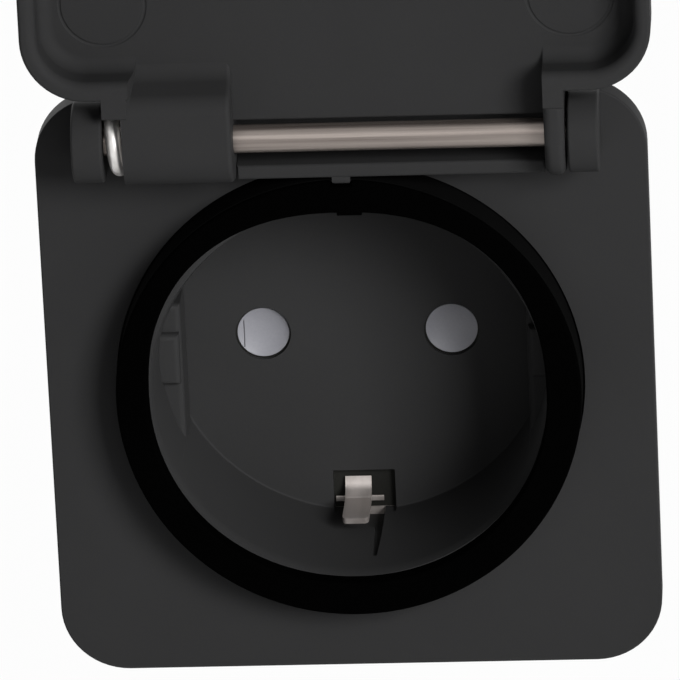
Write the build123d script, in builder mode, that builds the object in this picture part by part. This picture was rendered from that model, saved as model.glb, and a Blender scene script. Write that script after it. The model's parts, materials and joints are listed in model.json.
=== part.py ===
# Outdoor plug-in socket with a hinged lid and a built-in radio switch.
# Millimetres. The origin is midway between the two plug pins, on the plug's end face.
# +Y is the way the pins point, into the wall. +Z is up. The user faces the socket along +Y.
import os
from math import cos, radians, sin, sqrt

from build123d import *

# Front plate, measured from its front face
face_height = 65.5
plate_width = 60.4
plate_height = 61.4
plate_corner = 6.7
plate_thickness = 3.0
plate_edge = 0.8

# Round body behind the plate
body_r = 25.0
body_wall = 3.0
body_cup_gap = 1.0
body_depth = 40.5
gasket_thickness = 0.6
rear_depth = 6.9
rear_wall = 2.2
rear_edge = 1.2

# Plug on the back
boss_clearance = 1.1
boss_wall = 2.2
boss_floor = 3.0
boss_edge = 1.0
pin_spacing = 19.0
plug_pin_r = 2.4
plug_pin_length = 19.0
pin_neck_r = 2.2
pin_head_r = 3.3
pin_head_thickness = 1.6
guide_width = 5.4
earth_strip_width = 6.0
earth_strip_thickness = 1.0
earth_strip_inset = 0.1
earth_strip_tip_gap = 0.5
earth_link_width = 4.0
pin_link_width = 3.0
pin_link_thickness = 0.8

# Socket recess
recess_wall = 1.5
recess_depth = 17.8
recess_floor = 1.0
pin_hole_r = 2.65
rib_depth = 2.5
rib_setback = 5.3
collar_width = 3.3
collar_height = 2.6
collar_depth = 2.0
ring_inset = 0.4
ring_thickness = 1.8
ring_edge = 0.3
skirt_thickness = 0.3
skirt_depth = 1.0
tab_width = 2.5
tab_reach = 0.7
tab_x = 0.9

# Earth clips in the recess
clip_width = 2.6
clip_thickness = 0.8
clip_inset = 1.9
clip_height = 7.6
clip_bow = 1.0
clip_slot_width = 6.3
clip_slot_length = 4.2
clip_pocket_width = 4.0
clip_pocket_height = 5.0
clip_pocket_depth = 1.0
clip_cross_height = 0.6
key_groove_width = 0.6
key_groove_depth = 0.5

# Hinge
shaft_r = 1.4
barrel_r = 4.2
barrel_gap = 0.4
barrel_length = 10.7
barrel_end_wall = 1.6
barrel_top = 5.4
barrel_chamfer = 0.7
ear_r = 4.0
ear_width = 3.0
ear_inner_x = 22.75
ear_gap = 0.25
arm_width = 2.0
coil_gap = 2.05
ridge_thickness = 1.45
ridge_shaft_gap = 1.6
ridge_end_gap = 0.2
nib_width = 1.8
nib_reach = 0.8

# Lid, drawn open as it rests
lid_overlap = 0.5
lid_overhang = 1.1
lid_corner = 6.3
lid_offset_x = 0.5
lid_ear_gap = 1.5
lid_wall = 1.65
lid_hinge_wall = 1.9
lid_skin = 1.8
lid_floor_fillet = 2.2
lid_rim_edge = 0.35
lid_back_edge = 1.2
lid_lean = 2.0
lid_floor_reach = 1.85
lip_reach = 3.6
mark_r = 4.2
mark_x = 22.8
mark_from_axis = 14.1
mark_depth = 0.25

# Coil springs
hinge_wire_r = 0.7
hinge_coil_r = 2.4
hinge_coil_turns = 6
hinge_leg = 1.2
hinge_leg_r = 0.6
shutter_wire_r = 0.3
shutter_coil_r = 2.9
shutter_coil_turns = 2
shutter_leg = 0.8
shutter_leg_r = 0.28

# Shutter behind the recess floor
shutter_thickness = 1.4
shutter_rim = 1.1
shutter_turn = 42.0
shutter_window_r = 3.0
pivot_r = 2.0

# Contact carrier and contacts
carrier_inset = 2.9
carrier_length = 17.7
contact_r = 3.2
contact_wall = 0.7
contact_slit = 0.9
contact_base = 0.8
contact_base_width = 8.0

# Circuit board and what stands on it
board_thickness = 1.6
board_setback = 0.9
post_r = 2.4
post_inset = 1.6
front_post_length = 14.0
screw_r = 1.4
screw_head_r = 1.9
screw_head_height = 1.6
screw_length = 18.0
relay_depth = 14.0
relay_top_gap = 3.0
relay_side_gap = 1.9
capacitor_depth = 10.0
capacitor_end_gap = 4.0
capacitor_side_gap = 3.2
radio_size = (16.0, 11.0, 2.8)
part_gap_from_axis = 3.2
fuse_r = 1.6
fuse_length = 10.0
varistor_r = 3.4
varistor_thickness = 4.0

# Push button and status light under the body
button_r = 3.5
button_travel = 0.6
button_proud = 1.0
button_edge = 0.8
button_flange_r = 4.3
button_flange = 0.7
button_seal_wall = 0.8
switch_size = (6.0, 7.0, 2.4)
plunger_r = 1.0
plunger_entry = 0.4
lens_r = 1.25
lens_x = 9.0
lens_depth = 35.6
led_size = (2.0, 3.4, 1.6)

# Clearances
fit_gap = 0.02
running_gap = 0.05
slide_gap = 0.3
seat_gap = 0.2
side_gap = 0.4

os.makedirs("parts", exist_ok=True)


def face_plane(height):
    """Plane parallel to the plate's front face, that much in front of it."""
    return Plane.XZ.offset(face_height + height)


def finish(builder, label):
    """Names a finished piece and writes it."""
    builder.part.label = label
    export_step(builder.part, f"parts/{label}.step")


# Radii worked out from the body's own
body_bore_r = body_r - body_wall
recess_r = body_bore_r - body_cup_gap - recess_wall
rib_reach = recess_r - rib_depth
collar_r = recess_r + collar_width
ring_inner_r = recess_r + ring_inset
ring_outer_r = collar_r + skirt_thickness
collar_hole_r = ring_outer_r + seat_gap
clip_radius = recess_r - clip_inset
carrier_r = recess_r - carrier_inset
shutter_r = pin_spacing / 2 + shutter_window_r + shutter_rim
post_circle_r = body_bore_r - post_inset
boss_r = recess_r - boss_clearance
boss_bore_r = boss_r - boss_wall

# Places worked out from the sizes above, as heights in front of the plate's face
ring_height = collar_height + ring_thickness
recess_floor_height = ring_height - recess_depth
floor_back = recess_floor_height - recess_floor
carrier_back = floor_back - carrier_length
tube_end = -body_depth
rear_start = tube_end - gasket_thickness
rear_face = rear_start - rear_depth
rear_inside = rear_face + rear_wall
boss_inside = -face_height + boss_floor
pin_x = pin_spacing / 2
pin_points = [(-pin_x, 0), (pin_x, 0)]
chamber_depth = shutter_thickness + 2 * seat_gap

# The board is clamped between the posts of the two shells
board_front = tube_end + board_thickness + board_setback
board_back = board_front - board_thickness
post_points = [
    (post_circle_r * cos(radians(a)), post_circle_r * sin(radians(a))) for a in (45, 135, 225, 315)
]

# Hinge axis: above the ridge, and high enough for the barrel to clear the plate
ridge_bottom = collar_hole_r + running_gap
ridge_top = ridge_bottom + ridge_thickness
hinge_z = ridge_top + ridge_shaft_gap + shaft_r
hinge_height = barrel_r + barrel_gap
ridge_height = hinge_height - slide_gap
arm_outer_x = ear_inner_x - ear_gap
arm_inner_x = arm_outer_x - arm_width
barrel_outer_x = -(ear_inner_x - coil_gap)
barrel_inner_x = barrel_outer_x + barrel_length
ear_outer_x = ear_inner_x + ear_width

# The lid's own plane lies in the hinge axis: y runs along the lid, z towards its rim
lid_plane = Plane(
    origin=(0, -(face_height + hinge_height), hinge_z),
    x_dir=(1, 0, 0),
    z_dir=(0, -cos(radians(lid_lean)), sin(radians(lid_lean))),
)
lid_side = Plane(origin=lid_plane.origin, x_dir=lid_plane.y_dir, z_dir=(1, 0, 0))
lid_width = plate_width + 2 * lid_overlap
lid_start = ear_r + lid_ear_gap
lid_end = hinge_z + plate_height / 2 + lid_overhang
lid_length = lid_end - lid_start
lid_floor = hinge_height - ring_height - seat_gap
lid_rim = hinge_height - seat_gap
lid_back = lid_floor - lid_skin
coil_bore_r = hinge_coil_r + hinge_wire_r + side_gap

# Button and light pipe places, as heights below the body's axis
button_y = -(face_height + board_front) - button_flange_r - side_gap
lens_y = lens_depth - face_height
button_hole_r = button_r + slide_gap + button_seal_wall
flange_bottom = side_gap - sqrt(body_bore_r**2 - button_flange_r**2)
flange_top = flange_bottom + button_flange
switch_bottom = flange_top + button_travel + side_gap
led_bottom = switch_bottom + side_gap

# Earth strips on the plug and the link that carries them to the recess
earth_strip_top = boss_r - earth_strip_inset
earth_strip_bottom = earth_strip_top - earth_strip_thickness
guide_notch_depth = boss_r - rib_reach + seat_gap

# Hinge spring: its coil starts in the open gap beside the left ear and runs into the barrel
hinge_pitch = 2 * hinge_wire_r + running_gap
hinge_coil_x = -ear_inner_x + hinge_wire_r + slide_gap
with BuildLine() as hinge_coil:
    Helix(
        hinge_pitch,
        hinge_pitch * hinge_coil_turns,
        hinge_coil_r,
        center=(hinge_coil_x, -(face_height + hinge_height), hinge_z),
        direction=(1, 0, 0),
    )

# Front shell: plate, round body, hinge ears and ridge in one moulding
with BuildPart() as front_shell:
    with BuildSketch(face_plane(-plate_thickness)):
        RectangleRounded(plate_width, plate_height, plate_corner)
    extrude(amount=plate_thickness)
    fillet(front_shell.faces().sort_by(Axis.Y)[0].edges(), plate_edge)
    with BuildSketch(face_plane(tube_end)):
        Circle(body_r)
    extrude(amount=body_depth - plate_thickness / 2)
    with BuildSketch(face_plane(tube_end)):
        Circle(body_bore_r)
    extrude(amount=body_depth, mode=Mode.SUBTRACT)
    with BuildSketch(face_plane(-collar_depth)):
        Circle(collar_hole_r)
    extrude(amount=collar_depth, mode=Mode.SUBTRACT)
    # Screw posts along the inside of the body
    with BuildSketch(face_plane(board_front)):
        with Locations(*post_points):
            Circle(post_r)
    extrude(amount=front_post_length)
    with BuildSketch(face_plane(board_front)):
        with Locations(*post_points):
            Circle(screw_r + fit_gap)
    extrude(amount=front_post_length - post_r, mode=Mode.SUBTRACT)
    # Hinge ears, round about the shaft and blended down to the plate's top edge
    for ear_x in (-ear_outer_x, ear_inner_x):
        with BuildSketch(Plane.YZ.offset(ear_x)):
            with Locations((-(face_height + hinge_height), hinge_z)):
                Circle(ear_r)
            Polygon(
                (-face_height, hinge_z - ear_r),
                (-(face_height + hinge_height), hinge_z - ear_r),
                (-(face_height + hinge_height), hinge_z + ear_r),
                (-face_height, plate_height / 2 - plate_edge),
                (-(face_height - plate_thickness / 2), plate_height / 2 - plate_edge),
                (-(face_height - plate_thickness / 2), hinge_z - ear_r),
                align=None,
            )
        extrude(amount=ear_width)
    with BuildSketch(Plane.YZ.offset(-ear_outer_x)):
        with Locations((-(face_height + hinge_height), hinge_z)):
            Circle(shaft_r + fit_gap)
    extrude(amount=2 * ear_outer_x, mode=Mode.SUBTRACT)
    with BuildSketch(Plane(origin=hinge_coil.line @ 0, z_dir=(-1, 0, 0))):
        Circle(hinge_wire_r + running_gap)
    extrude(amount=hinge_wire_r + slide_gap + hinge_leg + seat_gap, mode=Mode.SUBTRACT)
    # Ridge that closes the lid's hinge side, with a nib that keys the seal
    with BuildSketch(face_plane(-plate_thickness / 2)):
        with Locations(((barrel_inner_x + arm_inner_x) / 2, (ridge_bottom + ridge_top) / 2)):
            Rectangle(arm_inner_x - barrel_inner_x - 2 * ridge_end_gap, ridge_thickness)
    extrude(amount=ridge_height + plate_thickness / 2)
    with BuildSketch(face_plane(collar_height + seat_gap)):
        with Locations((0, ridge_bottom)):
            Rectangle(nib_width, 2 * nib_reach)
    extrude(amount=ridge_height - collar_height - seat_gap)
    # Push button and light pipe openings underneath
    with BuildSketch(Plane.XY.offset(-body_r)):
        with Locations((0, button_y)):
            Circle(button_hole_r)
        with Locations((lens_x, lens_y)):
            Circle(lens_r + fit_gap)
    extrude(amount=body_r / 2, mode=Mode.SUBTRACT)
finish(front_shell, "front_shell")

# Socket cup: collar, recess, guide ribs, pin holes and the slots of the earth clips
with BuildPart() as socket_cup:
    with BuildSketch(face_plane(-collar_depth)):
        Circle(collar_r)
    extrude(amount=collar_depth + collar_height)
    with BuildSketch(face_plane(floor_back)):
        Circle(recess_r + recess_wall)
    extrude(amount=-floor_back)
    with BuildSketch(face_plane(recess_floor_height)):
        Circle(recess_r)
    extrude(amount=collar_height - recess_floor_height, mode=Mode.SUBTRACT)
    rib_root = recess_r + recess_wall / 2
    with BuildSketch(face_plane(floor_back)):
        with Locations((-(rib_reach + rib_root) / 2, 0), ((rib_reach + rib_root) / 2, 0)):
            Rectangle(rib_root - rib_reach, guide_width)
    extrude(amount=-rib_setback - floor_back)
    with BuildSketch(face_plane(floor_back)):
        with Locations(*pin_points):
            Circle(pin_hole_r)
        for side in (-1, 1):
            with Locations((0, side * (recess_r - clip_slot_length / 2))):
                Rectangle(clip_slot_width, clip_slot_length)
    extrude(amount=recess_floor, mode=Mode.SUBTRACT)
    with BuildSketch(face_plane(recess_floor_height)):
        for side in (-1, 1):
            with Locations((0, side * recess_r)):
                Rectangle(clip_pocket_width, 2 * clip_pocket_depth)
    extrude(amount=clip_pocket_height, mode=Mode.SUBTRACT)
    with BuildSketch(face_plane(recess_floor_height)):
        with Locations((0, -recess_r)):
            Rectangle(key_groove_width, 2 * key_groove_depth)
    extrude(amount=-recess_floor_height, mode=Mode.SUBTRACT)
finish(socket_cup, "socket_cup")

# Seal that the closed lid presses on: a ring with a skirt over the collar, and a tab inside
with BuildPart() as seal_ring:
    with BuildSketch(face_plane(collar_height)):
        Circle(ring_outer_r)
        Circle(ring_inner_r, mode=Mode.SUBTRACT)
    extrude(amount=ring_thickness)
    fillet(seal_ring.faces().sort_by(Axis.Y)[0].edges(), ring_edge)
    with BuildSketch(face_plane(-skirt_depth)):
        Circle(ring_outer_r)
        Circle(collar_r + fit_gap, mode=Mode.SUBTRACT)
    extrude(amount=skirt_depth + collar_height + ring_thickness / 2)
    with BuildSketch(face_plane(collar_height)):
        with Locations((tab_x, ring_inner_r)):
            Rectangle(tab_width, 2 * tab_reach)
    extrude(amount=ring_thickness / 2)
    with BuildSketch(face_plane(collar_height)):
        with Locations((0, ridge_bottom)):
            Rectangle(nib_width + 2 * seat_gap, 2 * (nib_reach + seat_gap))
    extrude(amount=ring_thickness, mode=Mode.SUBTRACT)
finish(seal_ring, "seal_ring")

# Earth bracket: a ring behind the recess floor with a sprung clip at the top and the bottom
clip_foot_y = -(face_height + floor_back)
clip_tip_y = -(face_height + recess_floor_height + clip_height)
clip_middle_y = (clip_foot_y + 2 * clip_tip_y) / 3
clip_outer = clip_radius + clip_thickness
with BuildPart() as earth_bracket:
    with BuildSketch(face_plane(floor_back - clip_thickness)):
        Circle(recess_r + recess_wall - seat_gap)
        Circle(carrier_r + side_gap, mode=Mode.SUBTRACT)
    extrude(amount=clip_thickness)
    with BuildSketch(Plane.YZ.offset(-clip_width / 2)):
        with BuildLine():
            inner = ThreePointArc(
                (clip_foot_y + clip_thickness / 2, clip_radius),
                (clip_middle_y, clip_radius - clip_bow),
                (clip_tip_y, clip_radius - clip_bow / 3),
            )
            outer = ThreePointArc(
                (clip_foot_y + clip_thickness / 2, clip_outer),
                (clip_middle_y, clip_outer - clip_bow),
                (clip_tip_y, clip_outer - clip_bow / 3),
            )
            Line(inner @ 0, outer @ 0)
            Line(inner @ 1, outer @ 1)
        make_face()
    extrude(amount=clip_width)
    with BuildSketch(face_plane(floor_back - clip_thickness / 2)):
        with Locations((0, clip_radius + clip_thickness / 2)):
            Rectangle(clip_slot_width - 2 * seat_gap, 2 * clip_thickness)
    extrude(amount=clip_thickness / 2 + clip_cross_height)
    mirror(about=Plane.XY)
finish(earth_bracket, "earth_bracket")

# Contact carrier: shutter chamber in front, with its pivot, and a bore for each contact
spring_pitch = 2 * shutter_wire_r + running_gap
spring_pocket = spring_pitch * shutter_coil_turns + 2 * shutter_wire_r + seat_gap
with BuildLine() as shutter_coil:
    Helix(
        spring_pitch,
        spring_pitch * shutter_coil_turns,
        shutter_coil_r,
        center=(0, -(face_height + floor_back - chamber_depth - shutter_wire_r), 0),
        direction=(0, 1, 0),
    )
with BuildPart() as contact_carrier:
    with BuildSketch(face_plane(carrier_back)):
        Circle(carrier_r)
    extrude(amount=carrier_length)
    with BuildSketch(face_plane(floor_back - chamber_depth)):
        Circle(shutter_r + slide_gap)
        Circle(pivot_r, mode=Mode.SUBTRACT)
    extrude(amount=chamber_depth, mode=Mode.SUBTRACT)
    with BuildSketch(face_plane(floor_back - chamber_depth - spring_pocket)):
        Circle(shutter_coil_r + shutter_wire_r + slide_gap)
        Circle(pivot_r, mode=Mode.SUBTRACT)
    extrude(amount=spring_pocket, mode=Mode.SUBTRACT)
    with BuildSketch(Plane(origin=shutter_coil.line @ 1, z_dir=(0, 1, 0))):
        Circle(shutter_wire_r + running_gap)
    extrude(amount=shutter_wire_r + shutter_leg + 2 * seat_gap, mode=Mode.SUBTRACT)
    with BuildSketch(face_plane(carrier_back)):
        with Locations(*pin_points):
            Circle(contact_r + slide_gap)
    extrude(amount=carrier_length - chamber_depth, mode=Mode.SUBTRACT)
finish(contact_carrier, "contact_carrier")

# Shutter: a turning disc whose windows stand aside from the pin holes at rest
with BuildPart() as shutter:
    with BuildSketch(face_plane(floor_back - seat_gap - shutter_thickness)):
        Circle(shutter_r)
        Circle(pivot_r + running_gap, mode=Mode.SUBTRACT)
        with PolarLocations(pin_x, 2, start_angle=shutter_turn):
            Circle(shutter_window_r, mode=Mode.SUBTRACT)
    extrude(amount=shutter_thickness)
    with BuildSketch(Plane(origin=shutter_coil.line @ 0, z_dir=(0, -1, 0))):
        Circle(shutter_wire_r + running_gap)
    extrude(amount=shutter_wire_r + shutter_leg + seat_gap, mode=Mode.SUBTRACT)
finish(shutter, "shutter")

# Shutter return spring round the pivot
with BuildPart() as shutter_spring:
    with BuildSketch(Plane(origin=shutter_coil.line @ 0, z_dir=shutter_coil.line % 0)):
        Circle(shutter_wire_r)
    sweep(path=shutter_coil.line, is_frenet=True)
    with BuildSketch(Plane(origin=shutter_coil.line @ 0, z_dir=(0, -1, 0)).offset(-shutter_leg_r)):
        Circle(shutter_leg_r)
    extrude(amount=shutter_leg_r + shutter_wire_r + shutter_leg)
    with BuildSketch(Plane(origin=shutter_coil.line @ 1, z_dir=(0, 1, 0)).offset(-shutter_leg_r)):
        Circle(shutter_leg_r)
    extrude(amount=shutter_leg_r + shutter_wire_r + shutter_leg)
finish(shutter_spring, "shutter_spring")

# Contacts: a split sleeve for each pin, with a base behind the carrier and a tail to the board
for pin_point, label in zip(pin_points, ("contact_left", "contact_right")):
    with BuildPart() as contact:
        with BuildSketch(face_plane(carrier_back)):
            with Locations(pin_point):
                Circle(contact_r)
                Circle(contact_r - contact_wall, mode=Mode.SUBTRACT)
                Rectangle(contact_slit, 2 * contact_r, mode=Mode.SUBTRACT)
        extrude(amount=carrier_length - chamber_depth - slide_gap)
        with BuildSketch(face_plane(carrier_back - contact_base)):
            with Locations(pin_point):
                RectangleRounded(contact_base_width, contact_base_width, contact_base)
        extrude(amount=contact_base)
        with BuildSketch(face_plane(board_front)):
            with Locations(pin_point):
                Rectangle(pin_link_thickness, pin_link_width)
        extrude(amount=carrier_back - contact_base - board_front)
    finish(contact, label)

# Circuit board, notched for the screws and the earth link
with BuildPart() as circuit_board:
    with BuildSketch(face_plane(board_back)):
        Circle(body_bore_r - slide_gap)
        with Locations(*post_points):
            Circle(screw_r + slide_gap, mode=Mode.SUBTRACT)
        with Locations((0, body_bore_r)):
            Rectangle(
                earth_link_width + 2 * side_gap,
                2 * (body_bore_r - earth_strip_top + side_gap),
                mode=Mode.SUBTRACT,
            )
    extrude(amount=board_thickness)
finish(circuit_board, "circuit_board")

# Relay and capacitor, as wide as the plug's hollow lets them, reach into it from the board
relay_top = boss_bore_r - relay_top_gap
relay_height = relay_top - part_gap_from_axis
relay_width = 2 * (sqrt(boss_bore_r**2 - relay_top**2) - relay_side_gap)
with BuildPart() as relay:
    with BuildSketch(face_plane(board_back)):
        with Locations((0, relay_top - relay_height / 2)):
            Rectangle(relay_width, relay_height)
    extrude(amount=-relay_depth)
    fillet(relay.faces().sort_by(Axis.Y)[-1].edges(), board_thickness / 2)
finish(relay, "relay")

capacitor_end = boss_bore_r - capacitor_end_gap
capacitor_height = capacitor_end - part_gap_from_axis
capacitor_width = 2 * (sqrt(boss_bore_r**2 - capacitor_end**2) - capacitor_side_gap)
with BuildPart() as capacitor:
    with BuildSketch(face_plane(board_back)):
        with Locations((0, capacitor_height / 2 - capacitor_end)):
            Rectangle(capacitor_width, capacitor_height)
    extrude(amount=-capacitor_depth)
    fillet(capacitor.faces().sort_by(Axis.Y)[-1].edges(), board_thickness / 2)
finish(capacitor, "capacitor")

# Varistor and fuse behind the board, radio module in front of it
with BuildPart() as varistor:
    with BuildSketch(face_plane(board_back)):
        with Locations((0, -(capacitor_end + varistor_r + side_gap))):
            Circle(varistor_r)
    extrude(amount=-varistor_thickness)
finish(varistor, "varistor")

fuse_x = pin_x + pin_head_r + fuse_r
with BuildPart() as fuse:
    with BuildSketch(Plane.XY.offset(-fuse_length / 2)):
        with Locations((fuse_x, -(face_height + board_back) + fuse_r)):
            Circle(fuse_r)
    extrude(amount=fuse_length)
finish(fuse, "fuse")

with BuildPart() as radio_module:
    with BuildSketch(face_plane(board_front)):
        with Locations((0, contact_base_width / 2 + side_gap + radio_size[1] / 2)):
            Rectangle(radio_size[0], radio_size[1])
    extrude(amount=radio_size[2])
finish(radio_module, "radio_module")

# Push switch on the board, its plunger, the button and the button's seal
with BuildPart() as push_switch:
    with BuildSketch(Plane.XY.offset(switch_bottom)):
        with Locations((0, -(face_height + board_front) - switch_size[1] / 2)):
            Rectangle(switch_size[0], switch_size[1])
    extrude(amount=switch_size[2])
    with BuildSketch(Plane.XY.offset(switch_bottom)):
        with Locations((0, button_y)):
            Circle(plunger_r + slide_gap)
    extrude(amount=plunger_entry + button_travel + seat_gap, mode=Mode.SUBTRACT)
finish(push_switch, "push_switch")

with BuildPart() as switch_plunger:
    with BuildSketch(Plane.XY.offset(flange_top)):
        with Locations((0, button_y)):
            Circle(plunger_r)
    extrude(amount=switch_bottom + plunger_entry - flange_top)
finish(switch_plunger, "switch_plunger")

with BuildPart() as power_button:
    with BuildSketch(Plane.XY.offset(-(body_r + button_proud))):
        with Locations((0, button_y)):
            Circle(button_r)
    extrude(amount=body_r + button_proud + flange_bottom)
    fillet(power_button.faces().sort_by(Axis.Z)[0].edges(), button_edge)
    with BuildSketch(Plane.XY.offset(flange_bottom)):
        with Locations((0, button_y)):
            Circle(button_flange_r)
    extrude(amount=button_flange)
finish(power_button, "power_button")

with BuildPart() as button_seal:
    with BuildSketch(Plane.XY.offset(seat_gap - sqrt(body_r**2 - button_hole_r**2))):
        with Locations((0, button_y)):
            Circle(button_hole_r - fit_gap)
            Circle(button_r + slide_gap, mode=Mode.SUBTRACT)
    extrude(amount=sqrt(body_r**2 - button_hole_r**2) - body_bore_r - 2 * seat_gap)
finish(button_seal, "button_seal")

# Status light and the light pipe that shows it under the body
with BuildPart() as status_led:
    with BuildSketch(Plane.XY.offset(led_bottom)):
        with Locations((lens_x, -(face_height + board_front) - led_size[1] / 2)):
            Rectangle(led_size[0], led_size[1])
    extrude(amount=led_size[2])
finish(status_led, "status_led")

lens_bottom = -sqrt(body_r**2 - lens_x**2)
with BuildPart() as status_lens:
    with BuildSketch(Plane.XY.offset(lens_bottom)):
        with Locations((lens_x, lens_y)):
            Circle(lens_r)
    extrude(amount=led_bottom - seat_gap - lens_bottom)
finish(status_lens, "status_lens")

# Seal between the two shells
with BuildPart() as shell_gasket:
    with BuildSketch(face_plane(rear_start)):
        Circle(body_r - seat_gap)
        Circle(body_bore_r + seat_gap, mode=Mode.SUBTRACT)
    extrude(amount=gasket_thickness)
finish(shell_gasket, "shell_gasket")

# Rear shell with the round plug: guide notches at its sides, earth grooves above and below
head_seat = rear_face + seat_gap + screw_head_height
with BuildPart() as rear_shell:
    with BuildSketch(face_plane(rear_face)):
        Circle(body_r)
    extrude(amount=rear_depth)
    fillet(rear_shell.faces().sort_by(Axis.Y)[-1].edges(), rear_edge)
    with BuildSketch(face_plane(-face_height)):
        Circle(boss_r)
    extrude(amount=face_height + rear_face + rear_wall)
    fillet(rear_shell.faces().sort_by(Axis.Y)[-1].edges(), boss_edge)
    with BuildSketch(face_plane(rear_inside)):
        Circle(body_bore_r)
    extrude(amount=rear_start - rear_inside, mode=Mode.SUBTRACT)
    with BuildSketch(face_plane(boss_inside)):
        Circle(boss_bore_r)
    extrude(amount=rear_inside - boss_inside, mode=Mode.SUBTRACT)
    with BuildSketch(face_plane(rear_face + rear_wall / 2)):
        with Locations(*post_points):
            Circle(post_r)
        Circle(body_bore_r - slide_gap, mode=Mode.INTERSECT)
    extrude(amount=board_back - rear_face - rear_wall / 2)
    with BuildSketch(face_plane(rear_face)):
        with Locations(*post_points):
            Circle(screw_r + slide_gap)
    extrude(amount=board_back - rear_face, mode=Mode.SUBTRACT)
    with BuildSketch(face_plane(rear_face)):
        with Locations(*post_points):
            Circle(screw_head_r + fit_gap)
    extrude(amount=head_seat - rear_face, mode=Mode.SUBTRACT)
    with BuildSketch(face_plane(-face_height)):
        with Locations(*pin_points):
            Circle(pin_neck_r + fit_gap)
        with Locations((-boss_r, 0), (boss_r, 0)):
            Rectangle(2 * guide_notch_depth, guide_width)
    extrude(amount=boss_floor, mode=Mode.SUBTRACT)
    groove_height = boss_r + earth_strip_thickness - earth_strip_bottom
    with BuildSketch(face_plane(-face_height)):
        with Locations((-boss_r, 0), (boss_r, 0)):
            Rectangle(2 * guide_notch_depth, guide_width)
        for side in (-1, 1):
            with Locations((0, side * (earth_strip_bottom - fit_gap + groove_height / 2))):
                Rectangle(earth_strip_width + 2 * fit_gap, groove_height)
    extrude(amount=face_height + rear_face, mode=Mode.SUBTRACT)
    with BuildSketch(face_plane(rear_face)):
        for side in (-1, 1):
            with Locations((0, side * (earth_strip_bottom + earth_strip_top) / 2)):
                Rectangle(earth_strip_width + 2 * fit_gap, earth_strip_thickness + 2 * fit_gap)
    extrude(amount=rear_wall, mode=Mode.SUBTRACT)
finish(rear_shell, "rear_shell")

# Plug pins with their inner heads, and the strips that carry them to the board
for pin_point, side in zip(pin_points, ("left", "right")):
    with BuildPart() as plug_pin:
        with BuildSketch(face_plane(-face_height - plug_pin_length)):
            with Locations(pin_point):
                Circle(plug_pin_r)
        extrude(amount=plug_pin_length)
        fillet(plug_pin.faces().sort_by(Axis.Y)[-1].edges(), 0.7 * plug_pin_r)
        with BuildSketch(face_plane(-face_height)):
            with Locations(pin_point):
                Circle(pin_neck_r)
        extrude(amount=boss_floor)
        with BuildSketch(face_plane(boss_inside)):
            with Locations(pin_point):
                Circle(pin_head_r)
        extrude(amount=pin_head_thickness)
    finish(plug_pin, f"plug_pin_{side}")
    with BuildPart() as pin_link:
        with BuildSketch(face_plane(boss_inside + pin_head_thickness)):
            with Locations(pin_point):
                Rectangle(pin_link_thickness, pin_link_width)
        extrude(amount=board_back - boss_inside - pin_head_thickness)
    finish(pin_link, f"pin_link_{side}")

# Plug earth: two side strips on one ring inside the rear shell
earth_ring_r = post_circle_r - post_r - seat_gap
with BuildPart() as plug_earth:
    with BuildSketch(face_plane(rear_inside)):
        Circle(earth_ring_r)
        Circle(boss_bore_r + seat_gap, mode=Mode.SUBTRACT)
    extrude(amount=earth_strip_thickness)
    with BuildSketch(face_plane(-face_height + earth_strip_tip_gap)):
        for side in (-1, 1):
            with Locations((0, side * (earth_strip_bottom + earth_strip_top) / 2)):
                Rectangle(earth_strip_width, earth_strip_thickness)
    extrude(amount=face_height - earth_strip_tip_gap + rear_inside + earth_strip_thickness)
finish(plug_earth, "plug_earth")

with BuildPart() as earth_link:
    with BuildSketch(face_plane(rear_inside)):
        with Locations((0, earth_strip_top + clip_thickness / 2)):
            Rectangle(earth_link_width, clip_thickness)
    extrude(amount=floor_back - clip_thickness - rear_inside)
finish(earth_link, "earth_link")

# Screws through the rear shell into the front shell's posts
with BuildPart() as housing_screws:
    with BuildSketch(face_plane(head_seat - screw_head_height)):
        with Locations(*post_points):
            Circle(screw_head_r)
    extrude(amount=screw_head_height)
    with BuildSketch(face_plane(head_seat)):
        with Locations(*post_points):
            Circle(screw_r)
    extrude(amount=screw_length)
finish(housing_screws, "housing_screws")

# Hinge shaft, fixed in both ears
with BuildPart() as hinge_shaft:
    with BuildSketch(lid_side.offset(-(ear_outer_x - seat_gap))):
        Circle(shaft_r)
    extrude(amount=2 * (ear_outer_x - seat_gap))
    chamfer(hinge_shaft.edges().filter_by(GeomType.CIRCLE), seat_gap)
finish(hinge_shaft, "hinge_shaft")

# Hinge spring: a coil round the shaft, one leg in the left ear, one in the barrel's end wall
with BuildPart() as hinge_spring:
    with BuildSketch(Plane(origin=hinge_coil.line @ 0, z_dir=hinge_coil.line % 0)):
        Circle(hinge_wire_r)
    sweep(path=hinge_coil.line, is_frenet=True)
    with BuildSketch(Plane(origin=hinge_coil.line @ 0, z_dir=(-1, 0, 0)).offset(-hinge_leg_r)):
        Circle(hinge_leg_r)
    extrude(amount=hinge_leg_r + hinge_wire_r + slide_gap + hinge_leg)
    with BuildSketch(Plane(origin=hinge_coil.line @ 1, z_dir=(1, 0, 0)).offset(-hinge_leg_r)):
        Circle(hinge_leg_r)
    extrude(amount=hinge_leg_r + hinge_wire_r + slide_gap + hinge_leg)
finish(hinge_spring, "hinge_spring")

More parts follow.
